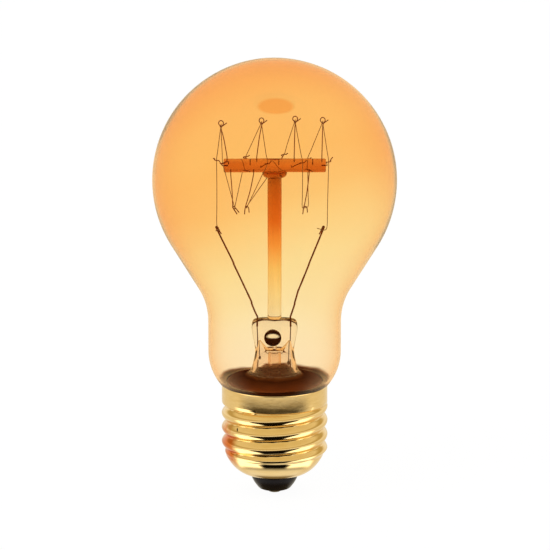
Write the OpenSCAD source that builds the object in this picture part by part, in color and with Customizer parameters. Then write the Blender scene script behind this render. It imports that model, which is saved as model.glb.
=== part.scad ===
// Clear amber filament bulb with a zigzag filament on a glass crossbar and a screw cap.
// Millimetres, +Z up. The origin is the tip of the centre contact, on the lamp's axis.
// The reader looks along +Y: front is -Y, left is -X.

/* [Cap] */
// Height of the cap's rim above the tip of the centre contact
rim_h = 28; // [26.5:0.1:31]
// Outer diameter over the thread's crests
thread_d = 26.3; // [25.6:0.05:27.4]
// Depth of the thread from crest to root
thread_depth = 1.05; // [0.7:0.05:1.2]
// Fullness of the thread's crests: 1 is a plain wave, and less makes them broader than the valleys
crest_fullness = 0.6; // [0.5:0.05:1]
// Rise of the thread in one turn
thread_pitch = 3.629; // [3:0.001:4.2]
// Height of the thread's crest on the left side of the cap, below the rim
thread_phase = 7.6; // [6:0.1:9]
// Height of the plain skirt below the rim
skirt_h = 4.6; // [3.5:0.1:5.5]
// Outer diameter of the plain skirt
skirt_d = 26.2; // [25.8:0.05:27.2]
// How far the rim's small lip stands out past the skirt
rim_lip = 0.13; // [0.05:0.01:0.3]
// Thickness of the cap's brass
shell_t = 0.25; // [0.2:0.01:0.3]
// Height of the lower end of the thread, where the cap starts to close in
thread_foot_z = 9.8; // [9:0.1:11]
// Diameter of the hole in the bottom of the cap, over its lip
cap_mouth_d = 12.6; // [11.5:0.1:14]
// Height of the cap's lower lip
cap_mouth_z = 4.85; // [4.4:0.05:5.4]

/* [Contact] */
// Height of the solder below the contact plate
solder_h = 0.95; // [0.6:0.05:1.3]
// Diameter of the flat at the tip of the solder
solder_flat_d = 2; // [1.4:0.1:2.6]
// Diameter of the solder where it meets the plate
solder_d = 3.8; // [3.2:0.1:4.6]
// Diameter of the contact plate
contact_d = 7.6; // [6:0.1:7.9]
// Thickness of the contact plate
contact_t = 0.35; // [0.2:0.05:0.5]
// Diameter of the hole that the lead passes through in the contact plate
contact_hole_d = 1.4; // [1:0.1:1.8]
// Diameter of the bottom face of the black glass
insulator_tip_d = 8.2; // [8:0.1:9]
// Height of the black glass inside the cap
insulator_top_z = 8.6; // [8:0.1:9.4]
// Diameter of the hole through the black glass
insulator_hole_d = 2.2; // [1.8:0.1:3]

/* [Glass bulb] */
// Diameter of the round globe
globe_d = 60.1; // [56:0.1:66]
// Height of the globe's centre above the cap's rim
globe_rise = 51.3; // [50:0.1:56]
// Angle between the cone below the globe and the lamp's axis
cone_angle = 31.4; // [28:0.1:34]
// Outer diameter of the neck
neck_d = 32.8; // [31:0.1:35]
// Radius of the hollow curve from the cone into the neck
neck_curve_r = 17; // [12:0.5:19]
// Height above the rim where the neck starts to close in
shoulder_rise = 8.3; // [7.5:0.1:9]
// Radius of the shoulder between the neck and the cap
shoulder_r = 13.1; // [12:0.1:16]
// Thickness of the bulb's glass
glass_t = 0.6; // [0.4:0.05:0.7]
// Thickness of the cement between the cap's skirt and the glass
cement_t = 0.2; // [0.15:0.01:0.3]
// Depth of the cement below the sealed end of the glass, down to the foot of the skirt
cement_foot_h = 0.7; // [0.5:0.05:1]
// Width of the cement below the glass
cement_foot_w = 1.6; // [1.2:0.1:2.5]

/* [Stem] */
// Height of the top of the glass press above the rim
press_rise = 16.7; // [15:0.1:18]
// Width of the press near its top
press_w = 11.3; // [10.8:0.1:12.5]
// Width of the stem at its waist
waist_w = 10; // [9.8:0.1:10.6]
// Thickness of the press from front to back
press_t = 3.8; // [3.2:0.1:4.6]
// Height of the waist below the top of the press
waist_drop = 7.8; // [7:0.1:8.5]
// Thickness of the stem's glass
stem_t = 0.8; // [0.6:0.05:0.9]
// Height of the top edge of the stem's flare above the rim
flare_rise = 0.9; // [0.5:0.1:1.3]
// Thickness of solid glass between the top of the press and the hollow stem
press_h = 8.7; // [8.2:0.1:9.2]
// Diameter of the blown hole in the press
vent_d = 4; // [3:0.1:4.4]
// Height of the blown hole's centre below the top of the press
vent_drop = 5.2; // [4.8:0.1:5.6]
// Outer diameter of the exhaust tube
tube_d = 3.2; // [2.8:0.1:3.6]
// Bore of the exhaust tube
tube_bore_d = 2.2; // [1.6:0.1:2.4]
// Height of the sealed tip of the exhaust tube
tube_tip_z = 11.2; // [10:0.1:13]

/* [Filament mount] */
// Height of the crossbar's axis above the rim
bar_rise = 55; // [52:0.1:58]
// Length of the crossbar
bar_l = 25; // [22:0.1:27]
// Diameter of the crossbar
bar_d = 3.4; // [3:0.1:4]
// Diameter of the centre rod
arbor_d = 3.4; // [3:0.1:4]
// Diameter of the collar that carries the crossbar
button_d = 6; // [5:0.1:7]
// Height of the collar from the rod to the underside of the crossbar
button_h = 1.3; // [1:0.1:1.8]
// Height of the collar's sides round the crossbar
button_lap = 0.5; // [0.3:0.1:0.8]
// Height of the upper hooks' eyes above the crossbar's axis
hook_rise = 11.6; // [10:0.1:12.5]
// Depth of the lower hooks below the crossbar's axis
hook_drop = 10.3; // [9:0.1:11.5]
// How far the front and back hooks stand out from the crossbar
hook_reach = 3.8; // [3:0.1:4.6]
// How far the end hooks stand out from the ends of the crossbar
end_reach = 1.7; // [1.4:0.1:2.2]
// Diameter of the hooks' wire
hook_wire_d = 0.2; // [0.15:0.01:0.25]
// Radius of the hooks' eyes, to the middle of the wire
eye_r = 0.65; // [0.6:0.05:0.8]
// Depth of a hook's foot in the crossbar
hook_foot = 1.1; // [0.8:0.1:1.3]
// Length of the free tail past a hook's eye
hook_tail = 1.1; // [0.6:0.1:1.4]
// Diameter of the filament's wire
filament_d = 0.16; // [0.1:0.01:0.2]

/* [Leads] */
// Distance of the left lead from the axis, in the press
lead_left_x = 4.2; // [3.8:0.1:4.3]
// Distance of the right lead from the axis, in the press
lead_right_x = 3.9; // [3.6:0.1:4.2]
// Diameter of the inner leads
lead_d = 0.42; // [0.3:0.02:0.5]
// Distance of the left lead's tip from the axis
tip_left_x = 14.5; // [13:0.1:15.5]
// Distance of the right lead's tip from the axis
tip_right_x = 12.3; // [11:0.1:13]
// Height of the leads' tips above the rim
tip_rise = 39.6; // [37:0.1:42]
// Width of the folded tip that grips the filament
clamp_w = 0.7; // [0.5:0.05:0.8]
// Length of the folded tip
clamp_l = 2.1; // [1.6:0.1:2.6]
// Depth of the inner leads' feet in the press
lead_foot = 2.4; // [2:0.1:3]
// Diameter of the wires sealed in the press
seal_wire_d = 0.3; // [0.2:0.02:0.36]
// Length of the wires sealed in the press
seal_wire_l = 8.5; // [8:0.1:9]
// Diameter of the outer leads in the cap
outer_lead_d = 0.4; // [0.3:0.02:0.5]
// Direction from the axis to the side contact's weld
weld_angle = 224; // [215:1:235]
// Height of the side contact's weld below the rim
weld_drop = 9.6; // [9:0.1:10.4]

/* [Fits] */
// Gap at a joint where glass is fused or metal is sealed in
fuse_gap = 0.03; // [0.02:0.01:0.06]
// Gap between the filament and what guides it
guide_gap = 0.1; // [0.06:0.01:0.14]
// Gap between the black glass and the cap
cap_gap = 0.06; // [0.04:0.01:0.1]

/* [Hidden] */
$fn = 72;

amber = "#f5b560";
rod_amber = "#d2691e";
clear_amber = "#f0c080";
wire_grey = "#6b5a4e";
dark_grey = "#4a443f";
copper = "#b06a3c";
brass = "#d9a84e";
black_glass = "#151312";
solder_grey = "#a9a9a4";
cement_brown = "#4a2a18";

shell_turns = 48;       // facets round the cap
thread_levels = 8;      // levels in one turn of the thread
wire_sides = 6;
curve_steps = 5;        // pieces between two knots of a smooth wire

globe_r = globe_d / 2;
globe_z = rim_h + globe_rise;
neck_r = neck_d / 2;
shoulder_z = rim_h + shoulder_rise;
skirt_r = skirt_d / 2;
crest_r = thread_d / 2;
root_r = crest_r - thread_depth;
seal_r = skirt_r - shell_t - cement_t;
rim_clear = 0.12;       // between the glass and the top of the rim
skirt_foot_z = rim_h - skirt_h;
seal_z = skirt_foot_z + cement_foot_h + 2 * fuse_gap;
facet_r = cos(180 / shell_turns);   // middle of a facet, as a part of its corners' radius
skirt_step = 0.8;       // height over which the thread runs out under the skirt
thread_fade = 1.8;      // height over which the thread starts from nothing

contact_z = solder_h;
insulator_z = contact_z + contact_t + fuse_gap;
mouth_r = cap_mouth_d / 2;

press_z = rim_h + press_rise;
waist_z = press_z - waist_drop;
flare_z = rim_h + flare_rise;
flare_r = seal_r - glass_t - fuse_gap;
stem_roof_z = press_z - press_h;
vent_z = press_z - vent_drop;
tube_r = tube_d / 2;

bar_z = rim_h + bar_rise;
bar_r = bar_d / 2;
half_bar = bar_l / 2;
button_z = bar_z - bar_r - button_h;
button_r = button_d / 2;

hook_side = hook_wire_d / 2 + guide_gap / 2;   // the wire's drift to each side as it passes itself
eye_turn = 245;         // how far a side hook's open eye goes round
hook_y = bar_r + hook_reach;

// Upper hooks: foot and eye along the bar, as parts of half the bar, and the eye's height past hook_rise.
top_hooks = [[-0.93, -1.04, -0.7], [-0.35, -0.26, 0], [0.38, 0.4, 0.4], [0.92, 0.94, 0.1]];
// Lower hooks: foot and bend along the bar.
bottom_hooks = [[-0.86, -0.77], [-0.41, -0.54], [0.68, 0.63]];
// Front and back hooks: foot and eye along the bar, and the eye's height above the bar's axis.
front_hooks = [[-0.9, -1.02, 1.7], [-0.27, -0.14, 1.6], [0.33, 0.54, 1.85]];
back_hooks = [[-0.48, -0.57, 1], [0.08, 0.18, 1.45], [0.74, 0.64, 0.4]];
// End hooks: depth from the bar's axis and height above it.
left_end = [0.9, 1.6];
right_end = [-0.5, 1.1];

lead_tip_z = rim_h + tip_rise;
lead_foot_z = press_z - lead_foot;
seal_wire_foot_z = lead_foot_z - fuse_gap - seal_wire_l;
left_x = -lead_left_x;
right_x = lead_right_x;
left_tip = [-tip_left_x, 0, lead_tip_z];
right_tip = [tip_right_x, 0, lead_tip_z];
left_knee = [left_x - 1.6, 0, press_z + 4.3];
right_knee = [right_x + 1.9, 0, press_z + 6.8];

function unit(v) = v / norm(v);
function mix(a, b, t) = a + (b - a) * t;
function ease(t) = let (c = max(0, min(1, t))) c * c * (3 - 2 * c);
function arc(centre, r, from, to, n) =
  [for (i = [0:n]) let (a = mix(from, to, i / n)) [centre[0] + r * cos(a), centre[1] + r * sin(a)]];
function bend(a, b, c, n) =
  [for (i = [0:n]) let (t = i / n) mix(mix(a, b, t), mix(b, c, t), t)];

// A smooth line through knots.
function spline_point(a, b, c, d, t) =
  0.5 * ((2 * b) + (c - a) * t + (2 * a - 5 * b + 4 * c - d) * t * t + (3 * b - a - 3 * c + d) * t * t * t);
function smooth(k, n) = [
  for (i = [0:len(k) - 2]) for (j = [0:n - 1])
    spline_point(k[max(i - 1, 0)], k[i], k[i + 1], k[min(i + 2, len(k) - 1)], j / n),
  k[len(k) - 1]
];

function tangents(p) = [
  for (i = [0:len(p) - 1])
    i == 0 ? unit(p[1] - p[0])
    : i == len(p) - 1 ? unit(p[i] - p[i - 1])
    : unit(unit(p[i + 1] - p[i]) + unit(p[i] - p[i - 1]))
];
function across(t) = unit(cross(t, abs(t[2]) < 0.9 ? [0, 0, 1] : [0, 1, 0]));
function carried(t) = [
  for (i = 0, n = across(t[0]); i < len(t);
       i = i + 1, n = i < len(t) ? unit(n - (n * t[i]) * t[i]) : n) n
];

// A wire swept along a path; d is one diameter, or one for each point.
module wire(path, d, sides = wire_sides) {
  t = tangents(path);
  n = carried(t);
  last = len(path) - 1;
  points = [
    for (i = [0:last]) for (k = [0:sides - 1])
      let (r = (is_list(d) ? d[i] : d) / 2, a = 360 * k / sides)
      path[i] + r * (cos(a) * n[i] + sin(a) * cross(t[i], n[i]))
  ];
  walls = [
    for (i = [0:last - 1]) for (k = [0:sides - 1])
      let (a = i * sides + k, b = i * sides + (k + 1) % sides)
      each [[a, a + sides, b + sides], [a, b + sides, b]]
  ];
  ends = [[for (k = [0:sides - 1]) k], [for (k = [0:sides - 1]) last * sides + sides - 1 - k]];
  polyhedron(points = points, faces = concat(walls, ends), convexity = 6);
}

// Glass bulb. The same outline, inset by t, is its inner surface.
function bulb_side(t) = let (
  r = globe_r - t,
  a = cone_angle,
  curve = neck_curve_r + t,
  n = neck_r - t,
  curve_z = globe_z - r * sin(a) - (r * cos(a) - n - curve * (1 - cos(a))) / tan(a) - curve * sin(a),
  s = shoulder_r - t,
  turn = asin((shoulder_z - rim_h - rim_clear - t) / s),
  over_rim = [seal_r - t, rim_h + rim_clear + t]
) concat(
  arc([0, globe_z], r, 90, -a, 40),
  arc([n + curve, curve_z], curve, 180 - a, 180, 10),
  arc([n - s, shoulder_z], s, 0, -turn, 10),
  [over_rim, [seal_r - t, seal_z]]
);

module glass_envelope() {
  outer = bulb_side(0);
  inner = bulb_side(glass_t);
  color(amber, 0.4)
    rotate_extrude()
      polygon(concat(outer, [for (i = [len(inner) - 1:-1:0]) inner[i]]));
}

// Stem: a round flare that is pressed flat at its top.
function stem_side(t) = [
  [flare_r - t, flare_z - 0.7 - t],
  [flare_r - 0.9 - t * 0.7, flare_z - t],
  [mix(flare_r, waist_w / 2, 0.56) - t * 0.5, flare_z + 0.9 - t],
  [mix(flare_r, waist_w / 2, 0.87) - t * 0.7, flare_z + 2.1 - t * 0.7],
  [mix(flare_r, waist_w / 2, 0.95) - t, flare_z + 4.6 - t * 0.4]
];
function press_side() = [
  [waist_w / 2, waist_z],
  [mix(waist_w, press_w, 0.8) / 2, press_z - 4],
  [press_w / 2, press_z - 2.2],
  [press_w / 2 - 0.5, press_z - 0.6],
  [press_w / 2 - 1.4, press_z]
];

module stem_outer() {
  side = smooth(concat(stem_side(0), press_side()), 3);
  half = press_t / 2;
  side_y = waist_w / 2 + 0.55;
  intersection() {
    rotate_extrude()
      polygon(concat([[0, seal_z], [flare_r, seal_z]], side, [[0, press_z]]));
    rotate([90, 0, 90])
      linear_extrude(height = 4 * flare_r, center = true)
        polygon(concat(
          [[-2 * flare_r, seal_z - 1], [2 * flare_r, seal_z - 1], [2 * flare_r, flare_z + 2.6]],
          bend([side_y, flare_z + 4.4], [half + 0.2, waist_z - 1.5], [half, waist_z + 1.5], 8),
          [[half, press_z + 1], [-half, press_z + 1]],
          bend([-half, waist_z + 1.5], [-half - 0.2, waist_z - 1.5], [-side_y, flare_z + 4.4], 8),
          [[-2 * flare_r, flare_z + 2.6]]
        ));
  }
}

module stem_hollow() {
  roof = waist_w / 2 - stem_t - 0.3;
  side = smooth(stem_side(stem_t), 3);
  half = tube_r + fuse_gap;
  intersection() {
    rotate_extrude()
      polygon(concat(
        [[0, seal_z - 1], [flare_r - stem_t, seal_z - 1]], side, [[roof, stem_roof_z], [0, stem_roof_z]]
      ));
    rotate([90, 0, 90])
      linear_extrude(height = 4 * flare_r, center = true)
        polygon([
          [-2 * flare_r, seal_z - 2], [2 * flare_r, seal_z - 2], [2 * flare_r, flare_z + 2],
          [waist_w / 2 - stem_t, flare_z + 3.6], [half, stem_roof_z - 1], [half, stem_roof_z + 1],
          [-half, stem_roof_z + 1], [-half, stem_roof_z - 1], [-waist_w / 2 + stem_t, flare_z + 3.6],
          [-2 * flare_r, flare_z + 2]
        ]);
  }
}

module lead_bore(x) {
  translate([x, 0, lead_foot_z - fuse_gap])
    cylinder(d = lead_d + 2 * fuse_gap, h = lead_foot + 1);
  translate([x, 0, flare_z + 2])
    cylinder(d = seal_wire_d + 2 * fuse_gap, h = lead_foot_z - flare_z - 2);
}

module stem_flare() {
  color(clear_amber, 0.6)
    difference() {
      stem_outer();
      stem_hollow();
      lead_bore(left_x);
      lead_bore(right_x);
      translate([0, -press_t / 2 - 1, vent_z]) rotate([-90, 0, 0])
        cylinder(d = vent_d, h = press_t / 2 + 1.5);
      translate([0, 0, stem_roof_z - 1]) cylinder(d = tube_bore_d, h = vent_z - stem_roof_z + 1);
    }
}

module exhaust_tube() {
  bore_r = tube_bore_d / 2;
  top_z = stem_roof_z - fuse_gap;
  color(clear_amber, 0.6)
    rotate_extrude()
      polygon(concat(
        [[bore_r, top_z], [tube_r, top_z]],
        bend([tube_r, tube_tip_z + 3.4], [tube_r, tube_tip_z], [0, tube_tip_z], 8),
        bend([0, tube_tip_z + 1.4], [bore_r, tube_tip_z + 1.6], [bore_r, tube_tip_z + 3.6], 6)
      ));
}

module arbor_rod() {
  base_z = press_z + fuse_gap;
  color(rod_amber)
    translate([0, 0, base_z]) cylinder(d = arbor_d, h = button_z - fuse_gap - base_z);
}

module arbor_button() {
  edge_z = bar_z - bar_r + button_lap;
  color(rod_amber)
    difference() {
      rotate_extrude()
        polygon(concat(
          [[0, button_z], [arbor_d / 2, button_z]],
          bend([arbor_d / 2, button_z], [button_r, button_z + 0.2], [button_r, edge_z - 0.4], 6),
          [[button_r - 0.3, edge_z], [0, edge_z]]
        ));
      translate([-button_d, 0, bar_z]) rotate([0, 90, 0]) cylinder(r = bar_r + fuse_gap, h = 2 * button_d);
    }
}

module foot_bore(at, turn) {
  translate(at) rotate(turn) cylinder(d = hook_wire_d + 2 * fuse_gap, h = bar_r);
}

module crossbar() {
  side_depth = bar_r - hook_foot - fuse_gap;
  end_depth = half_bar - hook_foot - fuse_gap;
  color(rod_amber)
    difference() {
      translate([-half_bar, 0, bar_z]) rotate([0, 90, 0]) cylinder(d = bar_d, h = bar_l);
      for (h = top_hooks) foot_bore([h[0] * half_bar, 0, bar_z + side_depth], [0, 0, 0]);
      for (h = bottom_hooks) foot_bore([h[0] * half_bar, 0, bar_z - side_depth], [180, 0, 0]);
      for (h = front_hooks) foot_bore([h[0] * half_bar, -side_depth, bar_z], [90, 0, 0]);
      for (h = back_hooks) foot_bore([h[0] * half_bar, side_depth, bar_z], [-90, 0, 0]);
      foot_bore([-end_depth, 0, bar_z], [0, -90, 0]);
      foot_bore([end_depth, 0, bar_z], [0, 90, 0]);
    }
}

// Upper hooks stand on the bar, and the filament lies in the bottom of each eye.
function top_eye(h) = [h[1] * half_bar, 0, bar_z + hook_rise + h[2]];
function top_rest(h) =
  top_eye(h) - [0, 0, eye_r - (hook_wire_d + filament_d) / 2 - guide_gap];

module top_hook(h) {
  eye = top_eye(h);
  foot = [h[0] * half_bar, 0, bar_z + bar_r - hook_foot];
  leave = foot + [0, 0, hook_foot + 0.5];
  shank = smooth([leave, mix(leave, eye, 0.5), eye + [0, -hook_side, -eye_r - 0.9]], curve_steps);
  ring = [
    for (i = [0:11]) let (a = mix(-55, 275, i / 11))
      eye + [eye_r * cos(a), mix(-hook_side, hook_side, i / 11), eye_r * sin(a)]
  ];
  tail = eye + [0.3 + hook_tail * 0.9, hook_side, hook_tail * 0.55 - eye_r];
  color(wire_grey) wire(concat([foot], shank, ring, [tail]), hook_wire_d);
}

// Lower hooks hang from the bar and end in a doubled arch over the filament.
function bottom_bend(h) = [h[1] * half_bar, 0, bar_z - hook_drop];
function bottom_rest(h) =
  bottom_bend(h) - [0, 0, (hook_wire_d + filament_d) / 2 + guide_gap];

module bottom_hook(h) {
  top = bottom_bend(h);
  foot = [h[0] * half_bar, 0, bar_z - bar_r + hook_foot];
  leave = foot - [0, 0, hook_foot + 0.5];
  shank = smooth([leave, mix(leave, top, 0.5), top + [-0.15, -hook_side, 0.7]], curve_steps);
  side = hook_wire_d + filament_d / 2 + guide_gap;
  arch = smooth([
    top + [-side, -hook_side, -0.2],
    top + [-side - 0.15, -hook_side, -0.6 - hook_tail],
    top + [-side - 0.15, hook_side, -0.6 - hook_tail],
    top + [-side, hook_side, -0.4],
    top + [0, hook_side, 0],
    top + [side, hook_side, -0.4],
    top + [side + 0.12, hook_side, -0.5 - hook_tail]
  ], 3);
  color(wire_grey) wire(concat([foot], shank, arch), hook_wire_d);
}

// Side hooks stand out from the bar to level eyes that the filament passes up or down through.
function side_eye(h, side) = [h[1] * half_bar, side * hook_y, bar_z + h[2]];

module side_hook(h, side) {
  eye = side_eye(h, side);
  foot = [h[0] * half_bar, side * (bar_r - hook_foot), bar_z];
  leave = foot + [0, side * (hook_foot + 0.6), 0];
  shank = smooth([leave, mix(leave, eye, 0.5) + [0, 0, 0.1]], curve_steps);
  color(wire_grey) eye_wire(concat([foot], shank), eye, side > 0 ? 235 : 125, -side, [1, -0.2 * side, 0.9]);
}

module end_hook(eye, side) {
  foot = [side * (half_bar - hook_foot), 0, bar_z];
  leave = foot + [side * (hook_foot + 0.35), 0, 0];
  color(wire_grey) eye_wire([foot, leave], eye, side > 0 ? 160 : 20, side, [side, 0, 1.3]);
}

// An open eye round an upright wire: it starts at one angle, climbs as it turns and ends in a free tail.
module eye_wire(shank, eye, from, way, tail_way) {
  ring = [
    for (i = [0:9]) let (a = from + way * mix(0, eye_turn, i / 9))
      eye + [eye_r * cos(a), eye_r * sin(a), mix(-hook_side, hook_side, i / 9)]
  ];
  tail = ring[9] + hook_tail * unit(tail_way);
  wire(concat(shank, ring, [tail]), hook_wire_d);
}

left_end_eye = [-half_bar - end_reach, left_end[0], bar_z + left_end[1]];
right_end_eye = [half_bar + end_reach - 0.6, right_end[0], bar_z + right_end[1]];

// One filament: up behind, over an upper hook, down in front, under a lower hook, and so on.
turn_flat = hook_side + 0.06;
turn_r = hook_side + hook_wire_d / 2 + filament_d / 2 + guide_gap + 0.1;
function turn(p, way) = [
  p + [0, way * turn_r, -way * 0.3], p + [0, way * turn_flat, -way * 0.03], p,
  p + [0, -way * turn_flat, -way * 0.03], p + [0, -way * turn_r, -way * 0.3]
];
function over(p) = turn(p, 1);
function under(p) = turn(p, -1);
function leg(a, b) = [
  for (t = [0.25, 0.5, 0.75]) mix(a, b, t) + [0, 0.08 * (a[1] + b[1]) * sin(180 * t), 0]
];
clamp_side = (clamp_w + filament_d) / 2 + guide_gap;
function at_grip(tip, knee, back) =
  let (along = unit(tip - knee)) tip - back * along + clamp_side * [along[2], 0, -along[0]];
stations = [
  [at_grip(left_tip, left_knee, 0.6), at_grip(left_tip, left_knee, -0.5)],
  [left_end_eye],
  over(top_rest(top_hooks[0])),
  [side_eye(front_hooks[0], -1)],
  under(bottom_rest(bottom_hooks[0])),
  [side_eye(back_hooks[0], 1)],
  over(top_rest(top_hooks[1])),
  [side_eye(front_hooks[1], -1)],
  under(bottom_rest(bottom_hooks[1])),
  [side_eye(back_hooks[1], 1)],
  over(top_rest(top_hooks[2])),
  [side_eye(front_hooks[2], -1)],
  under(bottom_rest(bottom_hooks[2])),
  [side_eye(back_hooks[2], 1)],
  over(top_rest(top_hooks[3])),
  [right_end_eye],
  [at_grip(right_tip, right_knee, -0.5), at_grip(right_tip, right_knee, 0.6)]
];
filament_path = [
  for (i = [0:len(stations) - 1]) let (s = stations[i])
    each (i == len(stations) - 1 ? s : concat(s, leg(s[len(s) - 1], stations[i + 1][0])))
];

module filament() {
  color(dark_grey) wire(filament_path, filament_d);
}

// Inner leads: a foot in the press, a bend, a long straight run and a folded tip.
module inner_lead(x, knee, tip) {
  along = unit(tip - knee);
  grip = tip - clamp_l * along;
  foot = [x, 0, lead_foot_z];
  start = concat([foot], smooth([[x, 0, press_z + 0.3], mix([x, 0, press_z], knee, 0.4), knee], 3));
  run = [mix(knee, grip, 0.04), mix(knee, grip, 0.97), grip, grip + 0.35 * along, tip - 0.3 * along, tip];
  widths = concat([for (p = start) lead_d], [lead_d, lead_d, lead_d, clamp_w, clamp_w * 0.85, clamp_w * 0.6]);
  color(dark_grey) wire(concat(start, run), widths, 8);
}

module seal_wire(x) {
  color(copper)
    translate([x, 0, seal_wire_foot_z]) cylinder(d = seal_wire_d, h = seal_wire_l);
}

// Outer leads run down inside the stem, past the exhaust tube, into the cap.
lead_top_z = seal_wire_foot_z - fuse_gap;
lead_end_z = contact_z + contact_t + 2 * fuse_gap;
weld_z = rim_h - weld_drop;
weld_r = root_r - shell_t - 0.75;
weld_at = [weld_r * cos(weld_angle), weld_r * sin(weld_angle), weld_z];

module contact_lead() {
  past_tube = tube_r + outer_lead_d + 0.6;
  color(copper)
    wire(smooth([
      [left_x, 0, lead_top_z], [left_x, 0, lead_top_z - 2], [-past_tube - 1, -0.4, flare_z - 5],
      [-past_tube, -0.3, tube_tip_z + 4], [-past_tube, 0, tube_tip_z + 0.5],
      [0, 0, insulator_top_z - 0.6], [0, 0, insulator_z + 2], [0, 0, lead_end_z]
    ], curve_steps), outer_lead_d);
}

module shell_lead() {
  past_tube = tube_r + outer_lead_d + 0.6;
  color(copper)
    wire(smooth([
      [right_x, 0, lead_top_z], [right_x, 0, lead_top_z - 2], [past_tube + 1, -1.5, flare_z - 4],
      [2, -past_tube - 1.5, weld_z + 3.5],
      weld_at - [1.5 * cos(weld_angle), 1.5 * sin(weld_angle), -0.8],
      weld_at
    ], curve_steps), outer_lead_d);
}

module side_weld() {
  gap = outer_lead_d / 2 + fuse_gap;
  color(solder_grey)
    translate(weld_at) rotate([0, 90, weld_angle])
      translate([0, 0, gap]) cylinder(d1 = 0.9, d2 = 0.6, h = 0.75 - gap - 0.15);
}

module capping_cement() {
  outer_r = (skirt_r - shell_t) * facet_r - fuse_gap;
  inner_r = seal_r + fuse_gap;
  foot_r = seal_r + cement_t - cement_foot_w;
  foot_z = skirt_foot_z + fuse_gap;
  color(cement_brown)
    rotate_extrude()
      polygon([
        [foot_r, foot_z + 0.3], [foot_r + 0.5, foot_z], [outer_r, foot_z + 0.02],
        [outer_r, rim_h - 0.1], [inner_r, rim_h - 0.1],
        [inner_r, seal_z - fuse_gap], [foot_r, seal_z - fuse_gap]
      ]);
}

// Cap shell: one wall all round, with the thread as a wave that climbs one pitch in a turn.
function crest_wave(angle, z) =
  cos(360 * (z - (rim_h - thread_phase) - thread_pitch * (angle - 180) / 360) / thread_pitch);
function thread_r(angle, z) =
  root_r + ease((z - thread_foot_z) / thread_fade)
  * thread_depth * pow((1 + crest_wave(angle, z)) / 2, crest_fullness);
function wall_r(angle, z) =
  mix(thread_r(angle, z), skirt_r, ease((z - skirt_foot_z + skirt_step) / skirt_step));
thread_count = round((skirt_foot_z - skirt_step - thread_foot_z) / thread_pitch * thread_levels);
thread_z = [
  for (i = [1:thread_count]) mix(thread_foot_z, skirt_foot_z - skirt_step, i / thread_count)
];
upper_z = concat(
  thread_z,
  [for (i = [1:4]) skirt_foot_z - skirt_step * (1 - i / 4)]
);
dome = bend([mouth_r, cap_mouth_z], [root_r - 2, cap_mouth_z + 0.75], [root_r, thread_foot_z], 7);
dome_inner = [
  for (i = [0:len(dome) - 1])
    let (t = i == 0 ? dome[1] - dome[0] : dome[i] - dome[i - 1], n = unit([-t[1], t[0]]))
    dome[i] + shell_t * n
];

module screw_shell() {
  lip = 0.3;
  turns = [for (j = [0:shell_turns - 1]) 360 * j / shell_turns];
  sections = [
    for (a = turns) concat(
      [[mouth_r - 0.12, cap_mouth_z + 0.1]],
      dome,
      [for (z = upper_z) [wall_r(a, z), z]],
      [[skirt_r, rim_h - 2 * lip], [skirt_r + rim_lip, rim_h - lip], [skirt_r + rim_lip, rim_h]],
      [[skirt_r - shell_t, rim_h], [skirt_r - shell_t, rim_h - 2 * lip]],
      [for (i = [len(upper_z) - 1:-1:0]) [wall_r(a, upper_z[i]) - shell_t, upper_z[i]]],
      [for (i = [len(dome_inner) - 1:-1:0]) dome_inner[i]]
    )
  ];
  m = len(sections[0]);
  points = [
    for (j = [0:shell_turns - 1]) for (p = sections[j]) [p[0] * cos(turns[j]), p[0] * sin(turns[j]), p[1]]
  ];
  faces = [
    for (j = [0:shell_turns - 1]) for (i = [0:m - 1])
      let (k = (j + 1) % shell_turns, n = (i + 1) % m)
      each [[j * m + i, j * m + n, k * m + n], [j * m + i, k * m + n, k * m + i]]
  ];
  color(brass) polyhedron(points = points, faces = faces, convexity = 10);
}

module insulator() {
  seat = [
    for (i = [0:len(dome) - 2])
      dome_inner[i] + cap_gap * unit(dome_inner[i] - dome[i])
  ];
  throat_r = mouth_r - shell_t - cap_gap - 0.1;
  inside = [for (p = seat) if (p[0] > throat_r && p[1] < insulator_top_z - 0.6) p];
  color(black_glass)
    rotate_extrude()
      polygon(concat(
        [[insulator_hole_d / 2, insulator_z], [insulator_tip_d / 2, insulator_z]],
        [[throat_r, cap_mouth_z - 0.3], [throat_r, inside[0][1]]],
        inside,
        [[root_r - shell_t - 2.2, insulator_top_z], [insulator_hole_d / 2 + 1.2, insulator_top_z],
         [insulator_hole_d / 2, insulator_top_z - 1]]
      ));
}

module contact_plate() {
  r = contact_d / 2;
  top_z = contact_z + contact_t;
  color(brass)
    rotate_extrude()
      polygon([
        [contact_hole_d / 2, contact_z], [r - 0.5, contact_z], [r, contact_z + 0.15],
        [r, top_z], [contact_hole_d / 2, top_z]
      ]);
}

module contact_solder() {
  plug_r = contact_hole_d / 2 - fuse_gap;
  top_z = contact_z - fuse_gap;
  color(solder_grey)
    rotate_extrude()
      polygon(concat(
        [[0, 0]],
        bend([solder_flat_d / 2, 0], [solder_d / 2, 0.1], [solder_d / 2, top_z], 8),
        [[plug_r, top_z], [plug_r, contact_z + contact_t], [0, contact_z + contact_t]]
      ));
}

glass_envelope();
stem_flare();
exhaust_tube();
arbor_rod();
arbor_button();
crossbar();
for (i = [0:3]) top_hook(top_hooks[i]);
for (i = [0:2]) bottom_hook(bottom_hooks[i]);
for (i = [0:2]) side_hook(front_hooks[i], -1);
for (i = [0:2]) side_hook(back_hooks[i], 1);
end_hook(left_end_eye, -1);  // left_end_hook
end_hook(right_end_eye, 1);  // right_end_hook
filament();
inner_lead(left_x, left_knee, left_tip);  // inner_lead_left
inner_lead(right_x, right_knee, right_tip);  // inner_lead_right
seal_wire(left_x);  // seal_wire_left
seal_wire(right_x);  // seal_wire_right
contact_lead();
shell_lead();
capping_cement();
screw_shell();
side_weld();
insulator();
contact_plate();
contact_solder();
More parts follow.
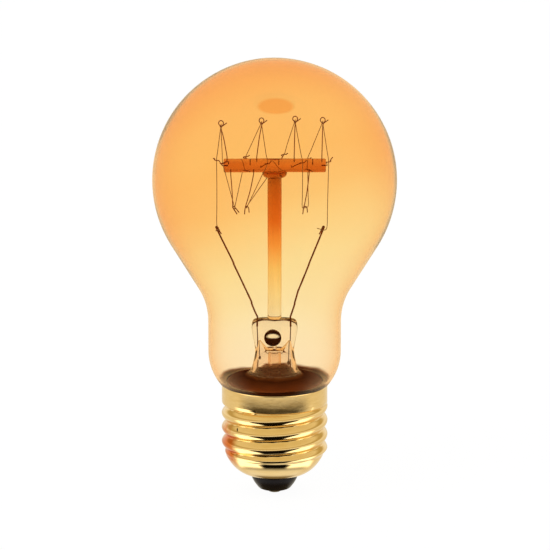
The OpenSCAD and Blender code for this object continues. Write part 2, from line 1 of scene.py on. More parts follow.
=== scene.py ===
"""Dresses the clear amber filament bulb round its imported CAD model.

Lengths are in millimetres and angles in degrees, as in the part's source, and a finished mesh is scaled to metres.
The origin is the tip of the centre contact, +Z is up, the front is -Y and the left is -X.
"""

import logging
import math
from collections.abc import Callable, Iterable, Mapping, Sequence
from dataclasses import dataclass, field
from enum import Enum

import bmesh
import bpy
from mathutils import Matrix, Vector, noise

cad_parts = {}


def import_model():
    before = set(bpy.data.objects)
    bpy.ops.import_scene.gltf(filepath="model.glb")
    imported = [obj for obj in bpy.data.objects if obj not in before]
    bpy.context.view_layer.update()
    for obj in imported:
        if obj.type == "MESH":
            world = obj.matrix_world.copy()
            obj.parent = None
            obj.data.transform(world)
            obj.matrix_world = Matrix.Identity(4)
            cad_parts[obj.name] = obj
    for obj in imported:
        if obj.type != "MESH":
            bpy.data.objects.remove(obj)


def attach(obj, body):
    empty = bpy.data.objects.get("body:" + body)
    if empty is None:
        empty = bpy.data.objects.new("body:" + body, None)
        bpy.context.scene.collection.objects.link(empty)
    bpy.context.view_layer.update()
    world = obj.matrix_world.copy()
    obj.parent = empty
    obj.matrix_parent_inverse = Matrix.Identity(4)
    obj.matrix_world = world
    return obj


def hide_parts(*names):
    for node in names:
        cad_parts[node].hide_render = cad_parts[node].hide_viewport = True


LOG = logging.getLogger("filament_bulb")
MM = 0.001
BODY = "root"

Stops = Sequence[tuple[float, str]]
Pair = tuple[float, float]
Point = tuple[float, float, float]
Outline = Sequence[Pair]

# Sizes at which the sub-assemblies meet
RIM_Z = 28.0  # top of the screw shell
SEAL_R = 12.65  # outside of the bulb's end in the cap
SEAL_Z = 24.16  # lower end of the bulb and of the stem's flare
PRESS_Z = 44.7  # top of the stem
BAR_Z = 83.0  # the crossbar's middle line
BAR_D = 3.4
BAR_L = 25.0
TUBE_TIP_Z = 11.2  # lower tip of the exhaust tube
INSULATOR_TOP_Z = 8.6
FUSE_GAP = 0.03  # between two pieces that are fused on the real lamp

# A wire's worn tip: how far in each of its rings lies and how wide it is, as parts of the wire's width
WORN_TIP = ((0.0, 0.5), (0.12, 0.84), (0.34, 1.0))


class Slot(Enum):
    """The record's material slots."""

    BULB_GLASS = "bulb_glass"
    STEM_GLASS = "stem_glass"
    ROD_GLASS = "rod_glass"
    HOOK_WIRE = "hook_wire"
    FILAMENT_WIRE = "filament_wire"
    LEAD_WIRE = "lead_wire"
    COPPER_WIRE = "copper_wire"
    CAP_BRASS = "cap_brass"
    BLACK_GLASS = "black_glass"
    CEMENT = "cement"
    SOLDER = "solder"


class Side(Enum):
    """The side of the lamp that a piece lies on: left and right along X, front and back along Y."""

    LEFT = -1
    RIGHT = 1
    FRONT = -2
    BACK = 2

    @property
    def sign(self) -> int:
        """The sign of the side along its own axis."""
        return -1 if self.value < 0 else 1


# ---- Shapes ----------------------------------------------------------------------------------------------------


def mix(a: float, b: float, t: float) -> float:
    """The number that lies the part t of the way from a to b."""
    return a + (b - a) * t


def ease(t: float) -> float:
    """A smooth step from 0 to 1."""
    c = max(0.0, min(1.0, t))
    return c * c * (3 - 2 * c)


def arc(centre: Pair, r: float, start: float, end: float, n: int) -> list[Pair]:
    """Points on an arc.

    Args:
        centre: The arc's centre.
        r: Its radius.
        start: The angle of its first point.
        end: The angle of its last point.
        n: How many pieces it is cut into.

    Returns:
        The arc's n + 1 points.
    """
    angles = [math.radians(mix(start, end, i / n)) for i in range(n + 1)]
    return [(centre[0] + r * math.cos(a), centre[1] + r * math.sin(a)) for a in angles]


def curve(a: Vector, b: Vector, c: Vector, n: int) -> list[Vector]:
    """Points on the curve from a to c that b pulls aside."""
    return [a.lerp(b, t).lerp(b.lerp(c, t), t) for t in (i / n for i in range(n + 1))]


def flat(line: Iterable[Vector]) -> list[Pair]:
    """A drawn line's points as the radius and height of an outline."""
    return [(p.x, p.y) for p in line]


def smooth(knots: Sequence[Vector], n: int) -> list[Vector]:
    """A smooth line through knots.

    Args:
        knots: The points to pass through.
        n: How many pieces lie between two knots.

    Returns:
        The line's points, with the last knot at its end.
    """
    line = []
    last = len(knots) - 1
    for i in range(last):
        a, b, c, d = knots[max(i - 1, 0)], knots[i], knots[i + 1], knots[min(i + 2, last)]
        for t in (j / n for j in range(n)):
            line.append(
                0.5 * (2 * b + (c - a) * t + (2 * a - 5 * b + 4 * c - d) * t**2 + (3 * b - a - 3 * c + d) * t**3)
            )
    return [*line, knots[last].copy()]


def turned(outline: Outline, steps: int, closed: bool = True) -> bmesh.types.BMesh:
    """Turns an outline round the lamp's axis.

    Args:
        outline: Radius and height of each point.
        steps: How many facets go round.
        closed: Whether the last point joins the first.

    Returns:
        The turned shape, with its faces outwards.
    """
    bm = bmesh.new()
    verts = [bm.verts.new((r, 0, z)) for r, z in outline]
    pairs = list(zip(verts, verts[1:])) + ([(verts[-1], verts[0])] if closed else [])
    edges = [bm.edges.new(pair) for pair in pairs]
    bmesh.ops.spin(
        bm, geom=verts + edges, cent=(0, 0, 0), axis=(0, 0, 1), angle=math.tau, steps=steps, use_merge=True
    )
    bmesh.ops.remove_doubles(bm, verts=bm.verts, dist=1e-4)
    bmesh.ops.recalc_face_normals(bm, faces=bm.faces)
    return bm


def swept(path: Sequence[Vector], width: float | Sequence[float], sides: int = 12) -> bmesh.types.BMesh:
    """Sweeps a ring along a path, as a wire with worn tips.

    Args:
        path: The points of the wire's middle line.
        width: The wire's diameter, or one for each point.
        sides: How many facets go round it.

    Returns:
        The wire's closed mesh.
    """
    widths = list(width) if isinstance(width, Sequence) else [width] * len(path)
    points = [Vector(p) for p in path]
    for at, step in ((0, 1), (-1, -1)):
        tip, way, w = points[at], (points[at + step] - points[at]).normalized(), widths[at]
        ends = [(tip + way * w * reach, w * part) for reach, part in WORN_TIP]
        rest = slice(1, None) if step > 0 else slice(None, -1)
        points, widths = points[rest], widths[rest]
        points = [p for p, _ in ends] + points if step > 0 else points + [p for p, _ in ends[::-1]]
        widths = [v for _, v in ends] + widths if step > 0 else widths + [v for _, v in ends[::-1]]
    bm = bmesh.new()
    up, edges, last = (points[1] - points[0]).orthogonal(), [], None
    for i, (point, w) in enumerate(zip(points, widths)):
        ahead = points[min(i + 1, len(points) - 1)] - point
        behind = point - points[max(i - 1, 0)]
        way = (ahead.normalized() + behind.normalized()).normalized()
        up = (up - up.dot(way) * way).normalized()
        turn = Matrix((up, way.cross(up), way)).transposed().to_4x4()
        place = Matrix.Translation(point) @ turn @ Matrix.Scale(w / 2, 4)
        if last is None:
            bmesh.ops.create_circle(bm, cap_ends=True, radius=1, segments=sides, matrix=place)
            edges = list(bm.edges)
        else:
            made = bmesh.ops.extrude_edge_only(bm, edges=edges)["geom"]
            verts = [g for g in made if isinstance(g, bmesh.types.BMVert)]
            ring = set(verts)
            edges = [g for g in made if isinstance(g, bmesh.types.BMEdge) and set(g.verts) <= ring]
            bmesh.ops.transform(bm, matrix=place @ last.inverted(), verts=verts)
        last = place
    bmesh.ops.contextual_create(bm, geom=edges)
    bmesh.ops.recalc_face_normals(bm, faces=bm.faces)
    return bm


def meshed(bm: bmesh.types.BMesh, name: str) -> bpy.types.Mesh:
    """Makes a mesh of a shape and frees the shape."""
    mesh = bpy.data.meshes.new(name)
    bm.to_mesh(mesh)
    bm.free()
    return mesh


def placed(name: str, data: bpy.types.ID) -> bpy.types.Object:
    """Makes an object of a mesh, a camera or a lamp and puts it in the scene."""
    made = bpy.data.objects.new(name, data)
    bpy.context.scene.collection.objects.link(made)
    return made


def shaded(mesh: bpy.types.Mesh, sharp: float) -> None:
    """Shades a mesh smooth, apart from its edges past an angle."""
    mesh.shade_smooth()
    mesh.set_sharp_from_angle(angle=math.radians(sharp))


def joined(*parts: bmesh.types.BMesh) -> bmesh.types.BMesh:
    """Puts several shapes into one mesh and frees them."""
    whole = bmesh.new()
    for part in parts:
        scrap = meshed(part, "scrap")
        whole.from_mesh(scrap)
        bpy.data.meshes.remove(scrap)
    return whole


def uneven(bm: bmesh.types.BMesh, size: float, depth: float, where: Callable[[Vector], float] | None = None) -> None:
    """Moves a shape's surface in and out by smooth noise.

    Args:
        bm: The shape, in millimetres.
        size: The noise's grain.
        depth: How far the surface moves at most.
        where: How much of the movement a point takes, from 0 to 1.
    """
    bm.normal_update()
    moves = [(v, v.normal * depth * noise.noise(v.co / size)) for v in bm.verts]
    for v, move in moves:
        v.co += move * (where(v.co) if where else 1.0)


def dressed(
    bm: bmesh.types.BMesh,
    node: str,
    slot: Slot,
    *finishes: "Finish",
    inner: Callable[[Vector, Vector], bool] | None = None,
    sharp: float = 40.0,
) -> bpy.types.Object:
    """Makes a piece of a shape, in place of its CAD node.

    Args:
        bm: The shape, in millimetres. It is freed.
        node: The CAD node that the piece stands for.
        slot: The record's material slot. It is not used.
        finishes: The piece's finishes; the second is for the faces that inner picks.
        inner: Takes a face's middle and normal, and says whether it has the second finish.
        sharp: The angle past which an edge is shaded sharp.

    Returns:
        The finished piece.
    """
    bm.normal_update()
    if inner:
        for face in bm.faces:
            face.material_index = int(inner(face.calc_center_median(), face.normal))
    bmesh.ops.scale(bm, vec=(MM, MM, MM), verts=bm.verts)
    mesh = meshed(bm, node)
    for finish in finishes:
        mesh.materials.append(finish.material())
    shaded(mesh, sharp)
    piece = placed(f"{node}_dressed", mesh)
    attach(piece, BODY)
    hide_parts(node)
    LOG.info("%s: %d faces", piece.name, len(mesh.polygons))
    return piece


def cut_out(piece: bpy.types.Object, *tools: bmesh.types.BMesh, sharp: float = 50.0) -> None:
    """Cuts shapes out of a finished piece, one after the other.

    Args:
        piece: The piece.
        tools: The shapes, in millimetres. They are freed.
        sharp: The angle past which an edge is then shaded sharp.
    """
    for tool in tools:
        bmesh.ops.scale(tool, vec=(MM, MM, MM), verts=tool.verts)
        mesh = meshed(tool, "cutter")
        cutter = placed("cutter", mesh)
        modifier = piece.modifiers.new("cut", "BOOLEAN")
        modifier.operation, modifier.solver, modifier.object = "DIFFERENCE", "EXACT", cutter
        shown = piece.evaluated_get(bpy.context.evaluated_depsgraph_get())
        done = bpy.data.meshes.new_from_object(shown)
        piece.modifiers.clear()
        bpy.data.objects.remove(cutter)
        bpy.data.meshes.remove(mesh)
        old, piece.data = piece.data, done
        bpy.data.meshes.remove(old)
    shaded(piece.data, sharp)


# ---- Finishes --------------------------------------------------------------------------------------------------


def linear(colour: str) -> tuple[float, float, float, float]:
    """Turns an sRGB hex colour to linear RGBA."""
    parts = (int(colour[i : i + 2], 16) / 255 for i in (1, 3, 5))
    return (*(c / 12.92 if c <= 0.04045 else ((c + 0.055) / 1.055) ** 2.4 for c in parts), 1.0)


def add(
    tree: bpy.types.NodeTree,
    kind: str,
    inputs: Mapping[str | int, object] | None = None,
    stops: Stops = (),
    **settings: object,
) -> bpy.types.Node:
    """Adds a node with its settings and links.

    Args:
        tree: The node tree.
        kind: The node's type, without its ShaderNode prefix.
        inputs: A value or an output socket for each input, by name or number.
        stops: Positions and sRGB colours of a colour ramp.
        settings: The node's own settings.

    Returns:
        The node.
    """
    made = tree.nodes.new(f"ShaderNode{kind}")
    for key, value in settings.items():
        setattr(made, key, value)
    if stops:
        elements = made.color_ramp.elements
        elements.remove(elements[1])
        elements[0].position, elements[0].color = stops[0][0], linear(stops[0][1])
        for at, colour in stops[1:]:
            elements.new(at).color = linear(colour)
    for key, value in (inputs or {}).items():
        if isinstance(value, bpy.types.NodeSocket):
            tree.links.new(value, made.inputs[key])
        else:
            made.inputs[key].default_value = value
    return made


def bare_tree(owner: bpy.types.Material | bpy.types.World) -> bpy.types.NodeTree:
    """Gives a material or a world an empty node tree."""
    owner.use_nodes = True
    owner.node_tree.nodes.clear()
    return owner.node_tree


@dataclass(frozen=True)
class StainAndShade:
    """An oval stain or patch of painted shade on a finish: its middle, half size, colour and how strongly it shows."""

    middle: Point
    half: Point
    colour: str
    strength: float = 1.0


@dataclass(frozen=True)
class Finish:
    """A finish that is made once and shared by all the pieces that have it."""

    name: str

    def material(self) -> bpy.types.Material:
        """The finish's material, made at its first use."""
        made = bpy.data.materials.get(self.name)
        if made is None:
            made = bpy.data.materials.new(self.name)
            tree = bare_tree(made)
            self.shade(tree, add(tree, "OutputMaterial"))
        return made

    def shade(self, tree: bpy.types.NodeTree, out: bpy.types.Node) -> None:
        """Adds the finish's own nodes and links them to the output."""
        raise NotImplementedError

    @staticmethod
    def grain(
        tree: bpy.types.NodeTree, size: float, detail: float = 2.0, stretch: Point | None = None
    ) -> bpy.types.NodeSocket:
        """Noise on the piece's own place.

        Args:
            tree: The node tree.
            size: The noise's grain in millimetres.
            detail: How many finer layers it has.
            stretch: How much longer the grain is along each axis.

        Returns:
            The noise's value.
        """
        place = add(tree, "TexCoord").outputs["Object"]
        if stretch is not None:
            scale = [1 / s for s in stretch]
            place = add(tree, "Mapping", {"Vector": place, "Scale": scale}).outputs["Vector"]
        inputs = {"Vector": place, "Scale": 1 / (size * MM), "Detail": detail}
        return add(tree, "TexNoise", inputs).outputs["Fac"]

    @staticmethod
    def from_oval(tree: bpy.types.NodeTree, middle: Point, half: Point) -> bpy.types.NodeSocket:
        """How far a point of the piece lies from an oval's middle.

        Args:
            tree: The node tree.
            middle: The oval's middle.
            half: Its half size along each axis; it is endless along one that is infinite.

        Returns:
            The distance, which is 1 on the oval itself.
        """
        inputs = {"Vector": add(tree, "TexCoord").outputs["Object"]}
        inputs["Location"] = [-m / h for m, h in zip(middle, half)]
        inputs["Scale"] = [1 / (h * MM) for h in half]
        ball = add(tree, "Mapping", inputs).outputs[0]
        return add(tree, "VectorMath", {0: ball}, operation="LENGTH").outputs["Value"]


@dataclass(frozen=True)
class TintedGlass(Finish):
    """Clear glass whose tint changes with height and deepens where it is seen edge on."""

    tints: Stops = ((0.0, "#ffffff"), (1.0, "#ffffff"))  # height, and what white looks like through a wall
    edge: str = "#ffffff"  # what an edge does to that tint
    edge_power: float = 3.0
    wander: float = 2.0  # how far the tint's level wanders
    patch: float = 14.0  # size of the tint's patches
    lean: float = 0.0  # how much higher the tint's level lies for each millimetre to the left
    lean_z: Pair = (36.0, 60.0)  # heights between which the lean sets in
    opaque: Pair = (-2.0, -1.0)  # heights between which the glass turns from opaque to clear
    streak: float = 0.0  # how much of the edge's colour the drawn glass has in its streaks
    streak_size: float = 1.6
    streak_noise: Pair = (0.42, 0.62)  # noise values between which a streak sets in
    streak_stretch: Point = (1, 1, 14)
    run: StainAndShade | None = None  # a thicker run of the lacquer
    run_edge: Pair = (0.85, 1.05)  # distances between which it ends, where its own half size is 1
    ior: float = 1.5

    def level(self, tree: bpy.types.NodeTree) -> bpy.types.NodeSocket:
        """The height at which a point takes its tint, with the lean and the wander."""
        at = add(tree, "SeparateXYZ", {0: add(tree, "TexCoord").outputs["Object"]}).outputs
        low, high = self.lean_z
        lean = {"Value": at["Z"], "From Min": low * MM, "From Max": high * MM, "To Max": -self.lean}
        slope = add(tree, "MapRange", lean).outputs[0]
        height = add(tree, "Math", {0: at["X"], 1: slope, 2: at["Z"]}, operation="MULTIPLY_ADD").outputs[0]
        wander = {"Value": self.grain(tree, self.patch), "To Min": -self.wander * MM, "To Max": self.wander * MM}
        drift = add(tree, "MapRange", wander).outputs[0]
        return add(tree, "Math", {0: height, 1: drift}, operation="ADD").outputs[0]

    def tint(self, tree: bpy.types.NodeTree, level: bpy.types.NodeSocket) -> bpy.types.NodeSocket:
        """The glass's colour.

        Args:
            tree: The node tree.
            level: The height at which a point takes its tint.

        Returns:
            The tint, with the streaks, the run and the edges multiplied in.
        """
        low, high = self.tints[0][0], self.tints[-1][0]
        part = add(tree, "MapRange", {"Value": level, "From Min": low * MM, "From Max": high * MM}).outputs[0]
        stops = [((z - low) / (high - low), colour) for z, colour in self.tints]
        tint = add(tree, "ValToRGB", {"Fac": part}, stops).outputs["Color"]
        layers = []
        if self.streak:
            lines = {"Value": self.grain(tree, self.streak_size, 2.0, self.streak_stretch), "To Max": self.streak}
            lines["From Min"], lines["From Max"] = self.streak_noise
            layers.append((add(tree, "MapRange", lines).outputs[0], self.edge))
        if self.run:
            inputs = {"Value": self.from_oval(tree, self.run.middle, self.run.half)}
            inputs["From Min"], inputs["From Max"] = self.run_edge
            inputs["To Min"], inputs["To Max"] = self.run.strength, 0.0
            layers.append((add(tree, "MapRange", inputs).outputs[0], self.run.colour))
        facing = add(tree, "LayerWeight", {"Blend": 0.5}).outputs["Facing"]
        rim = add(tree, "Math", {0: facing, 1: self.edge_power}, operation="POWER").outputs[0]
        for where, colour in (*layers, (rim, self.edge)):
            inputs = {0: where, 6: tint, 7: linear(colour)}
            tint = add(tree, "Mix", inputs, data_type="RGBA", blend_type="MULTIPLY").outputs[2]
        return tint

    def shade(self, tree: bpy.types.NodeTree, out: bpy.types.Node) -> None:
        """Makes the glass, and its opaque lower end of painted shade where it has one."""
        level = self.level(tree)
        inputs = {"Base Color": self.tint(tree, level), "Roughness": 0.0, "IOR": self.ior, "Transmission Weight": 1.0}
        # Below these heights the glass turns into an opaque surface of its dark tint: painted shade, on the stem's
        # flare.
        low, high = self.opaque
        if high > 0:
            painted_shade_end = {"Value": level, "From Min": low * MM, "From Max": high * MM}
            inputs["Transmission Weight"] = add(tree, "MapRange", painted_shade_end).outputs[0]
            inputs["Specular IOR Level"] = 0.0
        glass = add(tree, "BsdfPrincipled", inputs)
        tree.links.new(glass.outputs[0], out.inputs["Surface"])


@dataclass(frozen=True)
class PanedGlass(Finish):
    """Glass painted dark, as painted refraction, apart from one clear oval pane, seen along Y."""

    pane: Pair = (0.0, 0.0)  # the pane's middle along X and Z
    pane_half: Pair = (1.0, 1.0)
    rag: Pair = (0.8, 0.25)  # grain of the pane's ragged edge, and how ragged it is
    edge: Pair = (0.9, 1.35)  # distances between which the pane ends, where its own half size is 1
    # the dark is painted refraction of the cap's dark inside
    dark: str = "#1c0a03"
    clear: str = "#fff6e8"
    dark_open: float = 0.02  # how much light the dark part lets through
    ior: float = 1.52

    def shade(self, tree: bpy.types.NodeTree, out: bpy.types.Node) -> None:
        """Clears the pane with a soft edge."""
        middle, half = (self.pane[0], 0.0, self.pane[1]), (self.pane_half[0], math.inf, self.pane_half[1])
        wobble = {0: self.grain(tree, self.rag[0]), 1: self.rag[1], 2: self.from_oval(tree, middle, half)}
        far = add(tree, "Math", wobble, operation="MULTIPLY_ADD").outputs[0]
        part = add(tree, "MapRange", {"Value": far, "From Min": self.edge[0], "From Max": self.edge[1]}).outputs[0]
        tint = add(tree, "Mix", {0: part, 6: linear(self.clear), 7: linear(self.dark)}, data_type="RGBA").outputs[2]
        clear = add(tree, "MapRange", {"Value": part, "To Min": 1.0, "To Max": self.dark_open}).outputs[0]
        inputs = {"Base Color": tint, "Roughness": 0.0, "IOR": self.ior, "Transmission Weight": clear}
        inputs["Specular IOR Level"] = 0.0
        glass = add(tree, "BsdfPrincipled", inputs)
        tree.links.new(glass.outputs[0], out.inputs["Surface"])


@dataclass(frozen=True)
class Coat(Finish):
    """An opaque finish: two colours that noise mixes, a third in rare spots, and uneven gloss."""

    light: str = "#808080"
    dark: str = "#606060"
    spot: str = "#404040"
    mixing: Pair = (0.3, 0.7)  # noise values between which the dark colour turns to the light one
    spots: Pair = (0.68, 0.78)  # noise values between which the spots set in
    metallic: float = 0.0
    roughness: Pair = (0.3, 0.5)
    grain_size: float = 4.0
    stretch: Point = (1, 1, 1)
    spot_size: float = 2.0
    bump_size: float = 0.5
    bump: float = 0.0
    gloss: float = 0.5
    stains_and_shade: Sequence[StainAndShade] = ()
    mark_rag: Pair = (1.0, 0.5)  # grain of a mark's ragged edge, and how ragged it is
    mark_edge: Pair = (0.7, 1.4)  # distances between which a mark ends, where its own half size is 1

    def marked(self, tree: bpy.types.NodeTree, colour: bpy.types.NodeSocket) -> bpy.types.NodeSocket:
        """Lays the stains and the painted shade over a colour, each with a soft ragged edge."""
        low, high = self.mark_edge
        rag = self.grain(tree, self.mark_rag[0], 3.0)
        for each_mark in self.stains_and_shade:
            wobble = {0: rag, 1: self.mark_rag[1], 2: self.from_oval(tree, each_mark.middle, each_mark.half)}
            far = add(tree, "Math", wobble, operation="MULTIPLY_ADD").outputs[0]
            inputs = {"Value": far, "From Min": low, "From Max": high, "To Min": each_mark.strength, "To Max": 0.0}
            part = add(tree, "MapRange", inputs, interpolation_type="SMOOTHSTEP").outputs[0]
            colour = add(tree, "Mix", {0: part, 6: colour, 7: linear(each_mark.colour)}, data_type="RGBA").outputs[2]
        return colour

    def shade(self, tree: bpy.types.NodeTree, out: bpy.types.Node) -> None:
        """Mixes the colours, the gloss and the bump."""
        wave = self.grain(tree, self.grain_size, 4.0, self.stretch)
        even = add(tree, "MapRange", {"Value": wave, "From Min": self.mixing[0], "From Max": self.mixing[1]}).outputs[0]
        body = add(tree, "Mix", {0: even, 6: linear(self.dark), 7: linear(self.light)}, data_type="RGBA").outputs[2]
        fleck = self.grain(tree, self.spot_size, 5.0)
        where = add(tree, "MapRange", {"Value": fleck, "From Min": self.spots[0], "From Max": self.spots[1]}).outputs[0]
        colour = add(tree, "Mix", {0: where, 6: body, 7: linear(self.spot)}, data_type="RGBA").outputs[2]
        colour = self.marked(tree, colour)
        gloss = add(tree, "MapRange", {"Value": wave, "To Min": self.roughness[0], "To Max": self.roughness[1]})
        inputs = {"Base Color": colour, "Metallic": self.metallic, "Roughness": gloss.outputs[0]}
        inputs["Specular IOR Level"] = self.gloss
        if self.bump:
            grit = self.grain(tree, self.bump_size, 3.0)
            bump = add(tree, "Bump", {"Height": grit, "Strength": 1.0, "Distance": self.bump * MM})
            inputs["Normal"] = bump.outputs[0]
        shader = add(tree, "BsdfPrincipled", inputs)
        tree.links.new(shader.outputs[0], out.inputs["Surface"])


# Blown soda-lime glass under a transparent amber lacquer: deeper on the globe, paler at the neck, and deeper still
# where the wall is seen edge on. Its first stops, just over the cap's rim, are painted near black: painted shade of
# the gap between the glass and the rim. Its IOR is set below glass's 1.52, at which the globe's outline is a little
# greyer than on the object.
BULB_GLASS = TintedGlass(
    "lacquered_bulb_glass",
    tints=(
        (27.9, "#0a0402"), (28.5, "#1c0c06"), (28.9, "#6a3a20"), (29.4, "#fff2d8"), (38, "#fff4d9"), (50, "#fff4d0"),
        (63, "#fff0c3"), (73, "#ffe2ae"), (80, "#ffdca2"), (93, "#ffdfa6"), (107, "#ffd79c"),
    ),
    edge="#f6d8bc", edge_power=1.6, wander=1.6, lean=0.3, ior=1.32,
    run=StainAndShade((0.3, -19.9, 101.8), (4.65, 2.5, 2.5), "#fce2c4"),
)
# Drawn lead-glass tube, clear, flared and pinched in the flame. Its brownish lines where it is seen edge on are painted
# refraction of the dark cap below, and its flare is opaque and dark brown: painted shade of the cap's dark hollow seen
# through the clear glass.
STEM_GLASS = TintedGlass(
    "clear_stem_glass",
    tints=(
        (28.0, "#c07c50"), (28.55, "#a86844"), (28.9, "#6c3c22"), (29.5, "#4e2a18"), (30.1, "#28140a"),
        (30.7, "#704020"), (31.4, "#fff4ea"), (46, "#fffaf2"),
    ),
    edge="#8a4a20", edge_power=7.0, wander=0.2, patch=3.0, opaque=(30.3, 31.1),
)
# The bubble blown through the pinched glass. The dark round its one clear pane is painted refraction of the cap's
# dark inside, which its thick rounded lips gather.
VENT_GLASS = PanedGlass("blown_bubble_glass", pane=(-0.4, 39.85), pane_half=(1.45, 0.58))
# Solid drawn glass rod. Its tint is painted refraction of the globe's amber, which the rod gathers: rust-brown at the
# top and clear at its foot, with painted shade just under the collar, and darker where it is seen edge on.
ROD_GLASS = TintedGlass(
    "solid_glass_rod",
    tints=(
        (44, "#fffaf0"), (50, "#fff4d6"), (57, "#ffe0a8"), (63, "#fcb46c"), (69, "#e4823a"), (78, "#c47434"),
        (79.6, "#a8662e"), (81.6, "#c07038"),
    ),
    edge="#b06c3c", wander=0.6, patch=5.0, streak=0.14,
)
# The crossbar's rod, with its streaks along the bar. Its tint is painted refraction of the globe's amber, with a
# painted dark line below its middle and a lighter lower side.
BAR_GLASS = TintedGlass(
    "crossbar_glass_rod",
    tints=((81.3, "#f49c68"), (81.9, "#dc8c54"), (82.2, "#c07844"), (82.5, "#d88c4c"), (84.7, "#e89c58")),
    edge="#c07038", wander=0.15, patch=5.0, streak=0.25, streak_stretch=(14, 1, 1),
)
# The wires inside the glass are dull with oxide. They have no metallic and no gloss, because they then show their own
# brown and not the grey of the surround. That dark brown is partly their oxide and partly painted shade, of wires that
# stand dark against the bright globe.
# Drawn molybdenum, darkened by the flame: dull brown, partly painted shade.
HOOK_WIRE = Coat(
    "drawn_molybdenum", "#903c06", "#6a2a04", "#3c1602", gloss=0.0, roughness=(0.35, 0.55), grain_size=1.0
)
# Carbonised filament wire: dull, dark brown, partly painted shade.
FILAMENT_WIRE = Coat(
    "filament_wire", "#a04808", "#743006", "#441a04", gloss=0.0, roughness=(0.45, 0.65), grain_size=1.0
)
# Nickel-plated iron wire, oxidised in the flame: dark brown, partly painted shade.
LEAD_WIRE = Coat(
    "oxidised_nickel_wire", "#8a4404", "#582800", "#341600", gloss=0.0, roughness=(0.45, 0.65), grain_size=1.5
)
# The thin copper-clad wire sealed in the glass, burnt dark by the flame.
SEAL_WIRE = Coat(
    "burnt_copper_clad", "#5a2608", "#3e1806", "#240c04", gloss=0.03, roughness=(0.5, 0.7), grain_size=1.5
)
# Drawn copper lead, with its red oxide.
COPPER_WIRE = Coat(
    "drawn_copper", "#7a4228", "#54291a", "#2c140c", metallic=0.7, roughness=(0.35, 0.55), grain_size=1.5
)
# Rolled bright brass, drawn and threaded: golden, with faint marks round the cap and small tarnish spots.
BRASS = Coat(
    "rolled_brass", "#f0d090", "#e9c682", "#b07838", spots=(0.74, 0.82), metallic=1.0, roughness=(0.07, 0.15),
    grain_size=3.0, stretch=(1, 1, 0.25), spot_size=2.5, bump_size=1.2, bump=0.004,
    stains_and_shade=(
        StainAndShade((-12.4, -4.5, 12.5), (4.5, 6.0, 7.0), "#d87018"),  # an orange patch at the lower left
        StainAndShade((-9.2, -8.8, 18.3), (0.2, 0.9, 0.6), "#1a0c06"),  # painted shade of the pricked mark's dent over the side weld
        StainAndShade((-1.0, -13.0, 24.1), (8.0, 3.0, 0.8), "#806028", 0.7),  # painted dark reflection along the front of the skirt's foot
        StainAndShade((-2.1, -6.8, 5.4), (0.7, 0.8, 0.45), "#a05020", 0.8),  # two flux stains at the lower lip
        StainAndShade((2.2, -6.8, 5.4), (0.7, 0.8, 0.45), "#a05020", 0.8),
    ),
)
# The contact plate's brass, painted dark brown: painted shade of the lamp's underside.
PLATE_BRASS = Coat(
    "plate_brass_painted_shade", "#4a3420", "#2c1c10", "#140c06", metallic=0.8, roughness=(0.4, 0.6), grain_size=2.0
)
# The inside of the cap, painted dark brown: painted shade of the cap's hollow.
BRASS_INSIDE = Coat(
    "cap_inside_painted_shade", "#2c160c", "#1c0d06", "#100703", gloss=0.0, roughness=(0.6, 0.8), grain_size=3.0
)
# Vitrite, the black glass cast into the cap: smooth and glossy.
BLACK_GLASS = Coat(
    "vitrite", "#1a1010", "#100a0a", "#1e1614", gloss=0.16, roughness=(0.12, 0.26), grain_size=3.0,
    bump_size=2.5, bump=0.02,
)
# Phenolic capping cement, baked: red-brown, gritty and matte, and painted darker: painted shade of the joint in the
# cap.
CEMENT = Coat(
    "capping_cement", "#4a2410", "#2c1408", "#180a04", gloss=0.0, roughness=(0.75, 0.92), grain_size=1.2,
    bump_size=0.4, bump=0.05,
)
# Tin-lead solder, set without a wipe: dull silver with a slight skin.
SOLDER = Coat(
    "soft_solder", "#c4c4c0", "#a2a29c", "#7c7a74", metallic=1.0, roughness=(0.3, 0.5), grain_size=1.0,
    bump_size=0.7, bump=0.02,
)


# ---- Pieces ----------------------------------------------------------------------------------------------------


@dataclass
class Envelope:
    """The blown bulb: globe, cone, neck and the end that is sealed to the stem inside the cap."""

    globe_d: float = 60.04
    globe_z: float = 79.3
    cone_angle: float = 31.4
    neck_d: float = 32.8
    neck_curve_r: float = 17.0
    shoulder_z: float = 36.3
    shoulder_r: float = 13.1
    over_rim_z: float = 28.12
    seal_r: float = SEAL_R
    seal_z: float = SEAL_Z
    wall: float = 0.6
    wave: Pair = (16.0, 0.05)  # size and depth of the blown glass's unevenness
    wave_rise: float = 20.0  # height above the shoulder over which it sets in
    steps: int = 192
    globe_steps: int = 84
    bend_steps: int = 20

    def side(self, inset: float) -> list[Pair]:
        """The bulb's outline, inset from its outer surface."""
        r, a = self.globe_d / 2 - inset, math.radians(self.cone_angle)
        bend, neck = self.neck_curve_r + inset, self.neck_d / 2 - inset
        cone = (r * math.cos(a) - neck - bend * (1 - math.cos(a))) / math.tan(a)
        bend_z = self.globe_z - r * math.sin(a) - cone - bend * math.sin(a)
        s = self.shoulder_r - inset
        close = math.degrees(math.asin((self.shoulder_z - self.over_rim_z - inset) / s))
        return [
            *arc((0, self.globe_z), r, 90, -self.cone_angle, self.globe_steps),
            *arc((neck + bend, bend_z), bend, 180 - self.cone_angle, 180, self.bend_steps),
            *arc((neck - s, self.shoulder_z), s, 0, -close, self.bend_steps)[1:],
            (self.seal_r - inset, self.over_rim_z + inset),
            (self.seal_r - inset, self.seal_z),
        ]

    def build(self) -> None:
        """Blows the bulb as one wall with a small unevenness."""
        outline = self.side(0) + self.side(self.wall)[::-1]
        bm = turned(outline, self.steps, closed=False)
        uneven(bm, *self.wave, lambda p: ease((p.z - self.shoulder_z) / self.wave_rise))
        dressed(bm, "glass_envelope", Slot.BULB_GLASS, BULB_GLASS)


